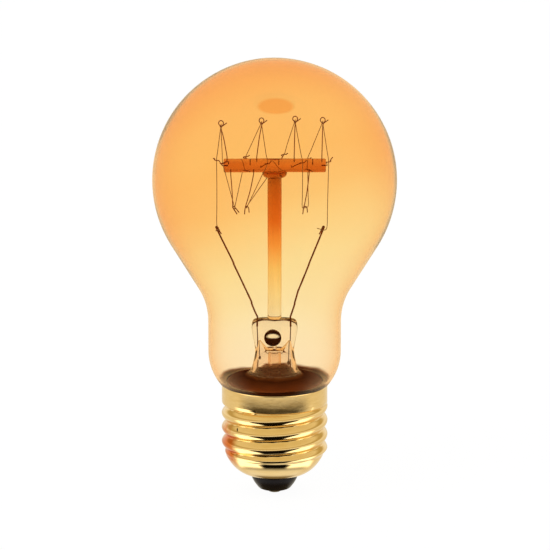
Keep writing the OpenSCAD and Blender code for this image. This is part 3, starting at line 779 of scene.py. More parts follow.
@dataclass
class Stem:
    """The flared and pinched stem with its blown hole, and the exhaust tube below it."""

    flare_r: float = 12.02
    seal_z: float = SEAL_Z
    wall: float = 0.8
    lowered_z: float = 27.5  # above this the hollow lies lower
    lowered_by: float = 0.6  # by this part of the wall
    roof_z: float = 36.0  # where the hollow closes
    lobe_h: float = 2.6  # how far the hollow reaches up at both sides
    lobe_x: float = 1.9  # how far from the middle the two lobes start
    lobe_pinch: float = 0.55  # how much shallower the hollow is in them
    vent_at: Point = (-0.45, -1.5, 39.9)
    vent_d: float = 4.3
    vent_squash: float = 0.85
    lip_part: float = 0.53  # how far the bubble's lips reach from its middle, as a part of its width
    lip_y: float = 1.8  # and from the stem's middle plane
    bore_r: float = 0.5  # the passage from the exhaust tube to the vent
    hump_h: float = 0.16  # the pinched top has one hump at each side of its middle
    hump_drop: float = 0.12
    hump_x: float = 4.6
    hump_z: float = 43.2
    tube_d: float = 3.2
    tube_bore_d: float = 2.2
    tube_tip_z: float = TUBE_TIP_Z
    sides: int = 96
    # How the hollow closes: each ring's height above the roof, and how much narrower and shallower it is
    closing: Sequence[Point] = ((0.3, 0.15, 0.2), (0.6, 0.6, 0.7))
    # The hollow's last ring: its height above the roof, half width and half depth
    roof_tip: Point = (0.75, 1.8, 0.4)
    # Height, half width, half depth and squareness of each ring
    rings: Sequence[tuple[float, float, float, float]] = (
        (28.0, 12.02, 12.02, 2.0),
        (28.75, 11.55, 11.55, 2.0),
        (29.3, 9.7, 9.7, 2.0),
        (29.9, 7.95, 7.95, 2.0),
        (30.6, 6.5, 6.5, 2.0),
        (31.4, 5.85, 5.85, 2.0),
        (32.4, 5.5, 5.45, 2.05),
        (33.5, 5.25, 4.95, 2.2),
        (34.6, 5.0, 3.9, 2.4),
        (35.6, 4.85, 2.9, 2.7),
        (36.9, 4.85, 2.2, 3.0),
        (38.4, 5.05, 1.95, 3.6),
        (40.7, 5.5, 1.9, 4.0),
        (42.3, 5.65, 1.85, 4.0),
        (43.7, 5.5, 1.4, 3.6),
        (44.4, 5.15, 1.1, 3.2),
        (44.7, 4.6, 0.75, 2.8),
    )

    def shell(self, rings: Sequence[Vector]) -> bmesh.types.BMesh:
        """Draws a closed shape up through superellipse rings.

        Args:
            rings: Height, half width, half depth and squareness of each ring.

        Returns:
            The shape, closed at both ends.
        """
        bm = bmesh.new()
        bmesh.ops.create_circle(bm, cap_ends=True, radius=1, segments=self.sides)
        ring = sorted(bm.verts, key=lambda v: math.atan2(v.co.y, v.co.x))
        angles = [math.atan2(v.co.y, v.co.x) for v in ring]
        edges = list(bm.edges)
        for i, (z, half_x, half_y, square) in enumerate(rings):
            if i:
                made = bmesh.ops.extrude_edge_only(bm, edges=edges)["geom"]
                ring = [g for g in made if isinstance(g, bmesh.types.BMVert)]
                kept = set(ring)
                edges = [g for g in made if isinstance(g, bmesh.types.BMEdge) and set(g.verts) <= kept]
                before = rings[i - 1]
                angles = [self.angle_of(v.co, before) for v in ring]
            for v, a in zip(ring, angles):
                c, s = math.cos(a), math.sin(a)
                v.co = (
                    half_x * math.copysign(abs(c) ** (2 / square), c),
                    half_y * math.copysign(abs(s) ** (2 / square), s),
                    z,
                )
        bmesh.ops.contextual_create(bm, geom=edges)
        bmesh.ops.recalc_face_normals(bm, faces=bm.faces)
        return bm

    @staticmethod
    def angle_of(co: Vector, ring: Vector) -> float:
        """The angle that put a point on a superellipse ring."""
        _, half_x, half_y, square = ring
        c = math.copysign(abs(co.x / half_x) ** (square / 2), co.x)
        s = math.copysign(abs(co.y / half_y) ** (square / 2), co.y)
        return math.atan2(s, c)

    def hollow(self, outer: Sequence[Vector]) -> bmesh.types.BMesh:
        """Draws the hollow inside the wall, with a lobe at each side of its roof.

        Args:
            outer: The rings of the stem's outside.

        Returns:
            The hollow's shape.
        """
        inner = []
        for z, half_x, half_y, square in outer:
            if z < self.roof_z:
                drop = self.wall * self.lowered_by * ease((z - self.lowered_z) / 2)
                inner.append(Vector((z - drop, half_x - self.wall, half_y - self.wall, square)))
        inner[0].x -= 1
        roof = inner[-1]
        for up, narrower, shallower in self.closing:
            inner.append(Vector((self.roof_z + up, roof.y - narrower, roof.z - shallower, roof.w)))
        up, half_x, half_y = self.roof_tip
        inner.append(Vector((self.roof_z + up, half_x, half_y, roof.w)))
        hollow = self.shell(inner)
        for v in hollow.verts:
            rise = ease((v.co.z - self.roof_z + 1.5) / 1.8) * ease((abs(v.co.x) - self.lobe_x) / 1.8)
            v.co.z += self.lobe_h * rise
            v.co.y *= 1 - self.lobe_pinch * rise
        return hollow

    def build(self) -> None:
        """Makes the stem, cuts its hollow, its bubble and its bore, and adds the tube."""
        knots = [Vector(ring) for ring in self.rings]
        outer = [Vector((self.seal_z, self.flare_r, self.flare_r, 2)), *smooth(knots, 3)]
        body = self.shell(outer)
        for v in body.verts:
            hump = self.hump_h * math.sin(math.pi * min(abs(v.co.x) / self.hump_x, 1.0)) - self.hump_drop
            v.co.z += hump * ease((v.co.z - self.hump_z) / 1.2)
        piece = dressed(body, "stem_flare", Slot.STEM_GLASS, STEM_GLASS, VENT_GLASS, sharp=60)
        vent = bmesh.new()
        reach = Matrix.Translation(self.vent_at) @ Matrix.Diagonal((1, self.vent_squash, 1, 1))
        bmesh.ops.create_uvsphere(vent, u_segments=48, v_segments=32, radius=self.vent_d / 2, matrix=reach)
        r, low, vent_z = self.bore_r, self.roof_z - 1.5, self.vent_at[2]
        bore = turned([(0, low), (r, low), (r, vent_z - 2.4), (0, vent_z - 1.4)], 32, closed=False)
        cut_out(piece, self.hollow(outer), vent, bore)
        # The bubble's lips take the glass with the painted refraction round its pane.
        middle, lip = Vector(self.vent_at) * MM, self.vent_d * self.lip_part * MM
        for face in piece.data.polygons:
            at = face.center
            face.material_index = int((at - middle).length < lip and abs(at.y) < self.lip_y * MM)
        self.tube()

    def tube(self) -> None:
        """Draws the exhaust tube, sealed off in the flame at its lower tip."""
        r, bore, tip, top = self.tube_d / 2, self.tube_bore_d / 2, self.tube_tip_z, self.roof_z - FUSE_GAP
        outside = curve(Vector((r, tip + 3.4)), Vector((r, tip)), Vector((0, tip)), 12)
        inside = curve(Vector((0, tip + 1.4)), Vector((bore, tip + 1.6)), Vector((bore, tip + 3.6)), 8)
        outline = [(bore, top), (r, top), *flat(outside), *flat(inside)]
        dressed(turned(outline, 48), "exhaust_tube", Slot.STEM_GLASS, STEM_GLASS)


@dataclass
class Arbor:
    """The glass rod on the press, its squashed collar and the crossbar."""

    press_z: float = PRESS_Z
    rod_d: float = 3.4
    foot_d: float = 3.9
    foot_h: float = 0.7
    rod_wave: Pair = (9.0, 0.04)  # size and depth of the rod's unevenness
    collar_z: float = 80.0
    collar_d: float = 6.0
    collar_edge_z: float = 81.8
    collar_lip: float = 0.55
    bar_z: float = BAR_Z
    bar_d: float = BAR_D
    bar_l: float = BAR_L
    bar_wave: Pair = (7.0, 0.05)
    bar_end_r: float = 0.35  # rounding of its fire-polished ends
    gap: float = FUSE_GAP
    steps: int = 64

    @property
    def lie(self) -> Matrix:
        """Lays a shape drawn along Z along the crossbar."""
        return Matrix.Translation((0, 0, self.bar_z)) @ Matrix.Rotation(math.pi / 2, 4, "Y")

    def rod(self) -> None:
        """Draws the rod, with a foot where it was pressed into the stem."""
        r, foot, base = self.rod_d / 2, self.foot_d / 2, self.press_z + self.gap
        fillet = curve(Vector((foot, base)), Vector((r, base + 0.1)), Vector((r, base + self.foot_h)), 8)
        top = self.collar_z - self.gap
        outline = [(0, base), *flat(fillet)]
        outline += [(r, mix(base + self.foot_h, top, i / 40)) for i in range(1, 41)] + [(0, top)]
        bm = turned(outline, self.steps, closed=False)
        uneven(bm, *self.rod_wave)
        dressed(bm, "arbor_rod", Slot.ROD_GLASS, ROD_GLASS)

    def collar(self) -> None:
        """Squashes the collar round the underside of the crossbar."""
        r, rod, low, edge = self.collar_d / 2, self.rod_d / 2, self.collar_z, self.collar_edge_z
        widest = Vector((r, edge - self.collar_lip))
        side = curve(Vector((rod, low)), Vector((r + 0.05, low + 0.15)), widest, 8)
        lip = curve(widest, Vector((r - 0.02, edge)), Vector((r - 0.6, edge)), 6)
        outline = [(0, low), *flat(side), *flat(lip[1:]), (0, edge)]
        piece = dressed(turned(outline, self.steps, closed=False), "arbor_button", Slot.ROD_GLASS, ROD_GLASS)
        seat, r = bmesh.new(), self.bar_d / 2 + self.gap
        bmesh.ops.create_cone(seat, cap_ends=True, segments=64, radius1=r, radius2=r, depth=20, matrix=self.lie)
        cut_out(piece, seat)

    def bar(self) -> None:
        """Draws the crossbar, with fire-polished ends and a slight unevenness."""
        r, half, edge = self.bar_d / 2, self.bar_l / 2, self.bar_end_r
        corner = arc((r - edge, half - edge), edge, 0, 90, 6)
        outline = [(0, -half), *((p[0], -p[1]) for p in corner[::-1])]
        outline += [(r, mix(-half + edge, half - edge, i / 24)) for i in range(1, 24)]
        outline += [*corner, (0, half)]
        bm = turned(outline, self.steps, closed=False)
        bmesh.ops.transform(bm, matrix=self.lie, verts=bm.verts)
        uneven(bm, *self.bar_wave, lambda p: ease((half - abs(p.x)) / 1.5))
        dressed(bm, "crossbar", Slot.ROD_GLASS, BAR_GLASS)

    def build(self) -> None:
        """Makes all three."""
        self.rod()
        self.collar()
        self.bar()


@dataclass(frozen=True)
class Hook:
    """Where a support wire stands: its foot and eye along the bar, in parts of half the bar, and the eye's height."""

    foot: float
    eye: float
    rise: float = 0.0
    lift: float = 0.0  # how far above the bar's middle line the foot stands, in degrees round the bar
    spread: float = 0.0  # how far the filament's turn reaches to each side along the bar
    slant: float = 0.0  # how far the free ends lean along the bar for each millimetre down


@dataclass
class Mount:
    """The support wires on the crossbar and the filament that runs through them."""

    bar_z: float = BAR_Z
    bar_r: float = BAR_D / 2
    half_bar: float = BAR_L / 2
    hook_rise: float = 11.2
    hook_drop: float = 10.3
    hook_y: float = 5.5
    wire_d: float = 0.23
    filament_d: float = 0.18
    eye_r: float = 0.58
    eye_tall: float = 1.12  # how much taller an upper eye is than wide
    eye_angles: Pair = (-55.0, 275.0)  # where an upper eye starts and ends
    open_turn: float = 245.0  # how far a side hook's open eye goes round
    twist: Pair = (1.25, 0.28)  # turns and length of the wire's twist below an upper eye
    foot_h: float = 1.1  # how deep a hook stands in the bar
    stub: float = 0.5  # how far it leaves the bar straight
    tail: float = 1.1
    slant_pinch: float = 0.48  # how much a slanting arch is narrowed, for its slant
    slant_drop: float = 1.2  # how much lower the filament lies in it, for its slant
    bow: float = 0.08  # how far the filament bows out between two hooks, for their depth
    gap: float = 0.1
    top: Sequence[Hook] = (Hook(-0.93, -1.04, -0.7), Hook(-0.35, -0.26), Hook(0.38, 0.4, 0.4), Hook(0.92, 0.94, 0.1))
    bottom: Sequence[Hook] = (Hook(-0.86, -0.812, slant=0.7), Hook(-0.41, -0.54), Hook(0.67, 0.6, spread=0.75))
    front: Sequence[Hook] = (Hook(-0.9, -1.01, 1.7, lift=35), Hook(-0.27, -0.14, 1.6), Hook(0.33, 0.54, 1.85))
    back: Sequence[Hook] = (Hook(-0.48, -0.57, 1.0), Hook(0.08, 0.18, 1.45), Hook(0.74, 0.64, 0.4))
    left_end: Vector = field(default_factory=lambda: Vector((-14.2, 0.9, 84.2)))
    right_end: Vector = field(default_factory=lambda: Vector((13.15, -0.5, 84.1)))
    left_grip: Sequence[Vector] = ()
    right_grip: Sequence[Vector] = ()

    @property
    def drift(self) -> float:
        """How far a wire moves to each side where it passes itself."""
        return self.wire_d / 2 + self.gap / 2

    def wire(self, node: str, path: Sequence[Vector]) -> None:
        """Draws one support wire."""
        dressed(swept(path, self.wire_d), node, Slot.HOOK_WIRE, HOOK_WIRE)

    def knot(self, at: Vector, way: Vector, turns: float, length: float) -> list[Vector]:
        """The wire's twist round itself below an eye.

        Args:
            at: Where the twist starts.
            way: The direction it runs in.
            turns: How often it goes round.
            length: How long it is.

        Returns:
            The twist's points.
        """
        across = way.orthogonal().normalized()
        r = self.wire_d * 0.95
        n = round(turns * 10)
        return [
            at + way * length * i / n + Matrix.Rotation(math.tau * turns * i / n, 3, way) @ across * r
            for i in range(n + 1)
        ]

    def top_eye(self, hook: Hook) -> Vector:
        """The middle of an upper hook's eye."""
        return Vector((hook.eye * self.half_bar, 0, self.bar_z + self.hook_rise + hook.rise))

    def top_hook(self, node: str, hook: Hook) -> None:
        """Bends an upper hook: a shank, a closed eye, a twist and a free tail."""
        eye = self.top_eye(hook)
        foot = Vector((hook.foot * self.half_bar, 0, self.bar_z + self.bar_r - self.foot_h))
        leave = foot + Vector((0, 0, self.foot_h + self.stub))
        low = eye + Vector((0, -self.drift, -self.eye_r - 0.65))
        shank = smooth([leave, leave.lerp(eye, 0.5), low], 8)
        ring = []
        for i in range(25):
            a = math.radians(mix(*self.eye_angles, i / 24))
            lean = mix(-self.drift, self.drift, i / 24)
            ring.append(eye + Vector((self.eye_r * math.cos(a), lean, self.eye_r * self.eye_tall * math.sin(a))))
        twist = self.knot(eye - Vector((0, 0, self.eye_r + 0.1)), Vector((0, 0, -1)), *self.twist)
        tail = eye + Vector((0.4 + self.tail * 0.9, self.drift, 0.05))
        start = twist[-1]
        out = smooth([start, start.lerp(tail, 0.4) - Vector((0, 0, 0.08)), tail], 5)
        self.wire(node, [foot, *shank, *ring, *twist, *out[1:]])

    def bottom_bend(self, hook: Hook) -> Vector:
        """The middle of a lower hook's arch."""
        return Vector((hook.eye * self.half_bar, 0, self.bar_z - self.hook_drop))

    def bottom_hook(self, node: str, hook: Hook) -> None:
        """Bends a lower hook: a shank and a doubled arch with two free ends."""
        top = self.bottom_bend(hook)
        foot = Vector((hook.foot * self.half_bar, 0, self.bar_z - self.bar_r + self.foot_h))
        leave = foot - Vector((0, 0, self.foot_h + self.stub))
        d, t = self.drift, self.tail
        side = self.wire_d + self.filament_d / 2 + self.gap
        shank = smooth([leave, leave.lerp(top, 0.5), top + Vector((-0.15, -d, 0.7))], 8)
        steps = (
            (-side, -d, -0.2),
            (-side - 0.15, -d, -0.6 - t),
            (-side - 0.15, d, -0.6 - t),
            (-side, d, -0.4),
            (0, d, 0),
            (side, d, -0.4),
            (side + 0.12, d, -0.5 - t),
        )
        pinch = 1 - self.slant_pinch * hook.slant
        arch = smooth([top + Vector((x * pinch - hook.slant * z, y, z)) for x, y, z in steps], 6)
        self.wire(node, [foot, *shank, *arch])

    def side_eye(self, hook: Hook, side: Side) -> Vector:
        """The middle of a front or back hook's eye."""
        return Vector((hook.eye * self.half_bar, side.sign * self.hook_y, self.bar_z + hook.rise))

    def open_eye(self, eye: Vector, start: float, way: int, tail: Vector) -> list[Vector]:
        """An open eye round an upright wire, with a twist of its own wire and a free tail.

        Args:
            eye: The eye's middle.
            start: The angle at which it starts.
            way: 1 where it goes round to the left, -1 to the right.
            tail: Its free tail.

        Returns:
            The eye's points.
        """
        ring = []
        for i in range(19):
            a = math.radians(start + way * mix(0, self.open_turn, i / 18))
            climb = mix(-self.drift, self.drift, i / 18)
            ring.append(eye + Vector((self.eye_r * math.cos(a), self.eye_r * math.sin(a), climb)))
        end = ring[-1] + tail
        bow = ring[-1].lerp(end, 0.5) + Vector((0, 0, 0.08))
        return [*ring, bow, end]

    def side_hook(self, node: str, hook: Hook, side: Side) -> None:
        """Bends a front or back hook."""
        eye = self.side_eye(hook, side)
        lift = math.radians(hook.lift)
        way = Vector((0, side.sign * math.cos(lift), math.sin(lift)))
        foot = Vector((hook.foot * self.half_bar, 0, self.bar_z)) + way * (self.bar_r - self.foot_h)
        leave = foot + way * (self.foot_h + 0.6)
        shank = smooth([leave, leave.lerp(eye, 0.5) + Vector((0, 0, 0.1)), eye], 8)[:-3]
        start = 235 if side is Side.BACK else 125
        loop = self.open_eye(eye, start, -side.sign, Vector((0.45, -0.1 * side.sign, 0.3)))
        self.wire(node, [foot, *shank, *loop])

    def end_hook(self, node: str, eye: Vector, side: Side) -> None:
        """Bends the hook at one end of the crossbar."""
        foot = Vector((side.sign * (self.half_bar - self.foot_h), 0, self.bar_z))
        leave = foot + Vector((side.sign * (self.foot_h + 0.35), 0, 0))
        start = 160 if side is Side.RIGHT else 20
        tail = Vector((0.65, 0, 0.85)) if side is Side.RIGHT else Vector((-0.5, 0, 0.12))
        self.wire(node, [foot, leave, *self.open_eye(eye, start, side.sign, tail)])

    def turn(self, at: Vector, way: int, spread: float = 0.0) -> list[Vector]:
        """The filament's turn through an eye or an arch.

        Args:
            at: The turn's middle.
            way: 1 where the filament turns down on both sides, -1 where it turns up.
            spread: How far it then reaches to each side along the bar.

        Returns:
            The turn's points.
        """
        level = self.drift + 0.06
        r = self.drift + self.wire_d / 2 + self.filament_d / 2 + self.gap + 0.1 + 0.35 * spread
        steps = ((-1, way * r, -0.3), (0, way * level, -0.03), (0, 0, 0), (0, -way * level, -0.03), (1, -way * r, -0.3))
        return [at + Vector((x * spread, y, way * z)) for x, y, z in steps]

    def filament(self) -> None:
        """Draws the filament from grip to grip as one wire."""
        reach = (self.wire_d + self.filament_d) / 2 + self.gap
        over = [self.turn(self.top_eye(h) - Vector((0, 0, self.eye_r - reach)), 1) for h in self.top]
        under = []
        for hook in self.bottom:
            low = reach * (1 + self.slant_drop * hook.slant)
            under.append(self.turn(self.bottom_bend(hook) + low * Vector((hook.slant, 0, -1)), -1, hook.spread))
        stations = [list(self.left_grip), [self.left_end], over[0]]
        for i in range(3):
            stations += [[self.side_eye(self.front[i], Side.FRONT)], under[i]]
            stations += [[self.side_eye(self.back[i], Side.BACK)], over[i + 1]]
        stations += [[self.right_end], list(self.right_grip)]
        knots = list(stations[0])
        for before, after in zip(stations, stations[1:]):
            a, b = before[-1], after[0]
            for t in (0.25, 0.5, 0.75):
                bow = self.bow * (a.y + b.y) * math.sin(math.pi * t)
                knots.append(a.lerp(b, t) + Vector((0, bow, 0)))
            knots += after
        dressed(swept(smooth(knots, 4), self.filament_d, 10), "filament", Slot.FILAMENT_WIRE, FILAMENT_WIRE)

    def build(self) -> None:
        """Bends all the hooks and strings the filament."""
        for i, hook in enumerate(self.top, 1):
            self.top_hook(f"top_hook_{i}", hook)
        for i, hook in enumerate(self.bottom, 1):
            self.bottom_hook(f"bottom_hook_{i}", hook)
        for name, side, hooks in (("front", Side.FRONT, self.front), ("back", Side.BACK, self.back)):
            for i, hook in enumerate(hooks, 1):
                self.side_hook(f"{name}_hook_{i}", hook, side)
        self.end_hook("left_end_hook", self.left_end, Side.LEFT)
        self.end_hook("right_end_hook", self.right_end, Side.RIGHT)
        self.filament()


@dataclass
class Lead:
    """One inner lead: its foot in the press, its bend, its long run and the folded tip that grips the filament."""

    name: str
    side: Side
    foot_x: float
    knee: Vector
    tip: Vector
    press_z: float = PRESS_Z
    foot_z: float = 42.3
    wire_d: float = 0.42
    fold_l: float = 2.1
    fold_r: float = 0.44  # the fold's radius, as a part of the wire's width
    fold_thin: float = 0.72  # the folded end's width, as a part of the wire's
    grip_out: Pair = (0.53, 0.45)  # how far the filament lies beside the lead, and past it at its free end
    free_end: Pair = (1.1, 0.35)  # how far its free end reaches inwards and up
    seal_d: float = 0.22
    seal_foot_z: float = 33.8
    toe_in: float = 0.88  # where the thin wire ends, as a part of the lead's distance from the middle
    knob_d: float = 0.75
    knob_z: Pair = (0.5, 0.9)  # heights over the thin wire's end between which its knob tapers

    @property
    def along(self) -> Vector:
        """The direction of the long run."""
        return (self.tip - self.knee).normalized()

    def grip(self) -> list[Vector]:
        """Where the filament lies against the front of the folded tip, from its free end on."""
        out = Vector((self.along.z, 0, -self.along.x))
        before = Vector((0, -self.wire_d / 2 - 0.12, 0))
        past, behind = self.grip_out
        beside = [self.tip - back * self.along + past * out + before for back in (0.6, -0.5)]
        away = self.tip - 0.9 * self.along - behind * out + before
        far = away + Vector((-self.side.sign * self.free_end[0], 0, self.free_end[1]))
        return [far, away, *beside]

    def build(self) -> None:
        """Draws the lead, its folded tip and the thin wire sealed in the press."""
        along = self.along
        out = Vector((along.z, 0, -along.x)) * -self.side.sign
        foot = Vector((self.foot_x, 0, self.foot_z))
        at_press = Vector((self.foot_x, 0, self.press_z))
        start = smooth([at_press + Vector((0, 0, 0.3)), at_press.lerp(self.knee, 0.4), self.knee], 8)
        r = self.wire_d * self.fold_r
        top = self.tip - r * along
        fold = [
            top + along * r * math.sin(a) + out * r * (1 - math.cos(a))
            for a in (math.pi * i / 8 for i in range(9))
        ]
        back = fold[-1] - along * self.fold_l
        run = [foot, *start, self.knee.lerp(top, 0.5)]
        doubled = [*fold, fold[-1].lerp(back, 0.7), back + out * 0.12]
        thinned = [self.wire_d * mix(1, self.fold_thin, ease(i / 6)) for i in range(len(doubled))]
        widths = [self.wire_d] * len(run) + thinned
        dressed(swept(run + doubled, widths), f"inner_lead_{self.name}", Slot.LEAD_WIRE, LEAD_WIRE)
        end, (low, high) = Vector((foot.x * self.toe_in, 0, self.seal_foot_z)), self.knob_z
        start = Vector((foot.x, 0, self.foot_z - FUSE_GAP))
        knots = [start, start.lerp(end, 0.5), end + Vector((0, 0, high)), end + Vector((0, 0, low)), end]
        widths = [self.seal_d, self.seal_d, self.seal_d, self.knob_d, self.knob_d * 0.8]
        dressed(swept(knots, widths), f"seal_wire_{self.name}", Slot.COPPER_WIRE, SEAL_WIRE)


@dataclass
class OuterLeads:
    """The copper leads from the stem down into the cap, and the weld on its side."""

    wire_d: float = 0.4
    top_z: float = 33.77
    left_x: float = -4.2
    right_x: float = 3.9
    past_tube: float = 2.6
    flare_z: float = 28.9
    tube_tip_z: float = TUBE_TIP_Z
    insulator_top_z: float = INSULATOR_TOP_Z
    plate_z: float = 1.36
    weld_angle: float = 224.0
    weld_r: float = 11.1
    weld_z: float = 18.4
    bead_r: float = 0.5
    bead_wave: Pair = (0.6, 0.08)

    def build(self) -> None:
        """Draws both leads and the weld."""
        past, angle = self.past_tube, math.radians(self.weld_angle)
        out = Vector((math.cos(angle), math.sin(angle), 0))
        weld = out * self.weld_r + Vector((0, 0, self.weld_z))
        centre = (
            (self.left_x, 0, self.top_z),
            (self.left_x, 0, self.top_z - 2),
            (-past - 1, -0.4, self.flare_z - 5),
            (-past, -0.3, self.tube_tip_z + 4),
            (-past, 0, self.tube_tip_z + 0.5),
            (0, 0, self.insulator_top_z - 0.6),
            (0, 0, self.plate_z + 2),
            (0, 0, self.plate_z),
        )
        shell = (
            (self.right_x, 0, self.top_z),
            (self.right_x, 0, self.top_z - 2),
            (past + 1, -1.5, self.flare_z - 4),
            (2, -past - 1.5, self.weld_z + 3.5),
            weld - out * 1.5 + Vector((0, 0, 0.8)),
            weld,
        )
        for node, knots in (("contact_lead", centre), ("shell_lead", shell)):
            path = smooth([Vector(knot) for knot in knots], 8)
            dressed(swept(path, self.wire_d), node, Slot.COPPER_WIRE, COPPER_WIRE)
        bead, place = bmesh.new(), Matrix.Translation(weld + out * 0.3)
        bmesh.ops.create_uvsphere(bead, u_segments=24, v_segments=16, radius=self.bead_r, matrix=place)
        uneven(bead, *self.bead_wave)
        dressed(bead, "side_weld", Slot.SOLDER, SOLDER)


@dataclass
class Cap:
    """The screw cap: threaded shell, cement, black glass, contact plate and solder."""

    rim_z: float = RIM_Z
    skirt_r: float = 13.1
    rim_lip: float = 0.13
    roll_r: float = 0.14  # the rolled rim's own radius
    wall: float = 0.25
    crest_r: float = 13.15
    thread_depth: float = 1.05
    fullness: float = 0.6  # 1 is a plain wave, and less makes the crests broader than the valleys
    pitch: float = 3.629
    phase: float = 7.6  # how far below the rim a crest lies at the lamp's left
    thread_foot_z: float = 9.8
    runout: float = 1.8  # height over which the thread grows from nothing
    skirt_foot_z: float = 23.4
    skirt_blend: float = 0.6  # height over which it ends in the skirt
    mouth_r: float = 6.3
    mouth_z: float = 4.85
    insulator_top_z: float = INSULATOR_TOP_Z
    insulator_z: float = 1.33
    insulator_tip_r: float = 4.1
    insulator_hole_r: float = 1.1
    plate_z: float = 0.95
    plate_t: float = 0.35
    plate_r: float = 3.8
    plate_hole_r: float = 0.7
    solder_flat_r: float = 1.0
    solder_r: float = 1.9
    solder_wave: Pair = (0.9, 0.05)  # size and depth of its unevenness
    seal_r: float = SEAL_R
    seal_z: float = SEAL_Z
    squeezed_r: float = 13.38  # where the squeezed-out cement lies
    squeezed_angles: Pair = (-74.0, -24.0)
    squeezed_d: Pair = (0.08, 0.28)  # its thickness at its ends, and how much more it has in its middle
    gap: float = 0.06
    steps: int = 240

    @property
    def root_r(self) -> float:
        """The radius between two threads."""
        return self.crest_r - self.thread_depth

    @property
    def dome(self) -> list[Vector]:
        """The cap's closing curve, from the mouth up to the thread."""
        mouth = Vector((self.mouth_r, self.mouth_z))
        belly = Vector((self.root_r - 2, self.mouth_z + 0.75))
        return curve(mouth, belly, Vector((self.root_r, self.thread_foot_z)), 18)

    def thread_r(self, angle: float, z: float) -> float:
        """The shell's outer radius, where the thread climbs one pitch in a turn."""
        phase = (z - (self.rim_z - self.phase) - self.pitch * (angle - 180) / 360) / self.pitch
        wave = self.thread_depth * ((1 + math.cos(math.tau * phase)) / 2) ** self.fullness
        threaded = self.root_r + ease((z - self.thread_foot_z) / self.runout) * wave
        return mix(threaded, self.skirt_r, ease((z - self.skirt_foot_z + self.skirt_blend) / self.skirt_blend))

    def shell(self) -> None:
        """Spins the wall and rolls the thread into it."""
        levels = [mix(self.thread_foot_z, self.skirt_foot_z, i / 84) for i in range(1, 85)]
        dome = self.dome
        ways = [dome[max(i, 1)] - dome[max(i, 1) - 1] for i in range(len(dome))]
        inside = [p + self.wall * Vector((-way.y, way.x)).normalized() for p, way in zip(dome, ways)]
        skirt = [(self.skirt_r, mix(self.skirt_foot_z, self.rim_z - 0.42, i / 6)) for i in range(1, 7)]
        roll = (self.skirt_r + self.rim_lip - 0.12, self.rim_z - self.roll_r)
        outline = [
            (self.mouth_r - 0.12, self.mouth_z + 0.1),
            *flat(dome),
            *((self.root_r, z) for z in levels),
            *skirt,
            (self.skirt_r, self.rim_z - 0.34),
            *arc(roll, self.roll_r, -50, 90, 7),
            (self.skirt_r - self.wall, self.rim_z - 0.02),
            (self.skirt_r - self.wall, self.rim_z - 0.6),
            *((self.root_r - self.wall, z) for z in levels[::-1]),
            *flat(inside[::-1]),
        ]
        bm = turned(outline, self.steps)
        for v in bm.verts:
            if self.thread_foot_z < v.co.z < self.skirt_foot_z + 1e-3:
                r = math.hypot(v.co.x, v.co.y)
                angle = math.degrees(math.atan2(v.co.y, v.co.x)) % 360
                grown = self.thread_r(angle, v.co.z) - self.root_r
                v.co.xy *= (r + grown) / r

        def inward(at: Vector, normal: Vector) -> bool:
            """Whether a face belongs to the inner surface."""
            return normal.x * at.x + normal.y * at.y < 0 and at.z < self.rim_z - 0.5

        # The inner faces take the second finish, painted dark as painted shade of the cap's hollow.
        dressed(bm, "screw_shell", Slot.CAP_BRASS, BRASS, BRASS_INSIDE, inner=inward)

    def cement(self) -> None:
        """Fills the joint with cement, with a sliver that was squeezed out over the rim at the right front."""
        outer, inner = self.skirt_r - self.wall - 0.05, self.seal_r + 0.03
        foot, low = self.seal_r - 1.4, self.skirt_foot_z + 0.03
        outline = [
            (foot, low + 0.3),
            (foot + 0.5, low),
            (outer, low + 0.02),
            (outer, self.rim_z - 0.1),
            (inner, self.rim_z - 0.1),
            (inner, self.seal_z - 0.03),
            (foot, self.seal_z - 0.03),
        ]
        ring = turned(outline, 96)
        r, (thin, more) = self.squeezed_r, self.squeezed_d
        path, widths = [], []
        for t in (i / 32 for i in range(33)):
            a = math.radians(mix(*self.squeezed_angles, t))
            path.append(Vector((r * math.cos(a), r * math.sin(a), self.rim_z + 0.06)))
            widths.append(thin + more * math.sin(math.pi * t) * (0.8 + 0.2 * noise.noise(Vector((t * 9, 0, 0)))))
        dressed(joined(ring, swept(path, widths, 10)), "capping_cement", Slot.CEMENT, CEMENT)

    def base(self) -> None:
        """Casts the black glass, and adds the contact plate and its drop of solder."""
        throat, top = self.mouth_r - self.wall - self.gap - 0.1, self.insulator_top_z
        seat = [p + Vector((-0.2, 0.28)) for p in self.dome if p.x > throat + 0.3 and p.y < top - 0.8]
        tip, mouth = Vector((self.insulator_tip_r, self.insulator_z)), Vector((throat, self.mouth_z - 0.3))
        outline = [
            (self.insulator_hole_r, self.insulator_z),
            *flat(curve(tip, Vector((throat - 0.3, 3.1)), mouth, 10)),
            (throat, seat[0].y),
            *flat(seat),
            (self.root_r - self.wall - 2.2, top),
            (self.insulator_hole_r + 1.2, top),
            (self.insulator_hole_r, top - 1),
        ]
        glass = turned(outline, 128)
        dressed(glass, "insulator", Slot.BLACK_GLASS, BLACK_GLASS, sharp=50)
        r, hole, low, high = self.plate_r, self.plate_hole_r, self.plate_z, self.plate_z + self.plate_t
        edge = [(r - 0.7, low), (r - 0.25, low + 0.04), (r, low + 0.15), (r, high)]
        dressed(turned([(hole, low), *edge, (hole, high)], 96), "contact_plate", Slot.CAP_BRASS, PLATE_BRASS)
        plug, brim = self.plate_hole_r - FUSE_GAP, self.plate_z - FUSE_GAP
        drop = curve(Vector((self.solder_flat_r, 0)), Vector((self.solder_r, 0.1)), Vector((self.solder_r, brim)), 12)
        outline = [(0, 0), *flat(drop), (plug, brim), (plug, high), (0, high)]
        solder = turned(outline, 64, closed=False)
        uneven(solder, *self.solder_wave, lambda p: ease((p.z - 0.05) / 0.3))
        dressed(solder, "contact_solder", Slot.SOLDER, SOLDER)

    def build(self) -> None:
        """Makes all five pieces."""
        self.shell()
        self.cement()
        self.base()


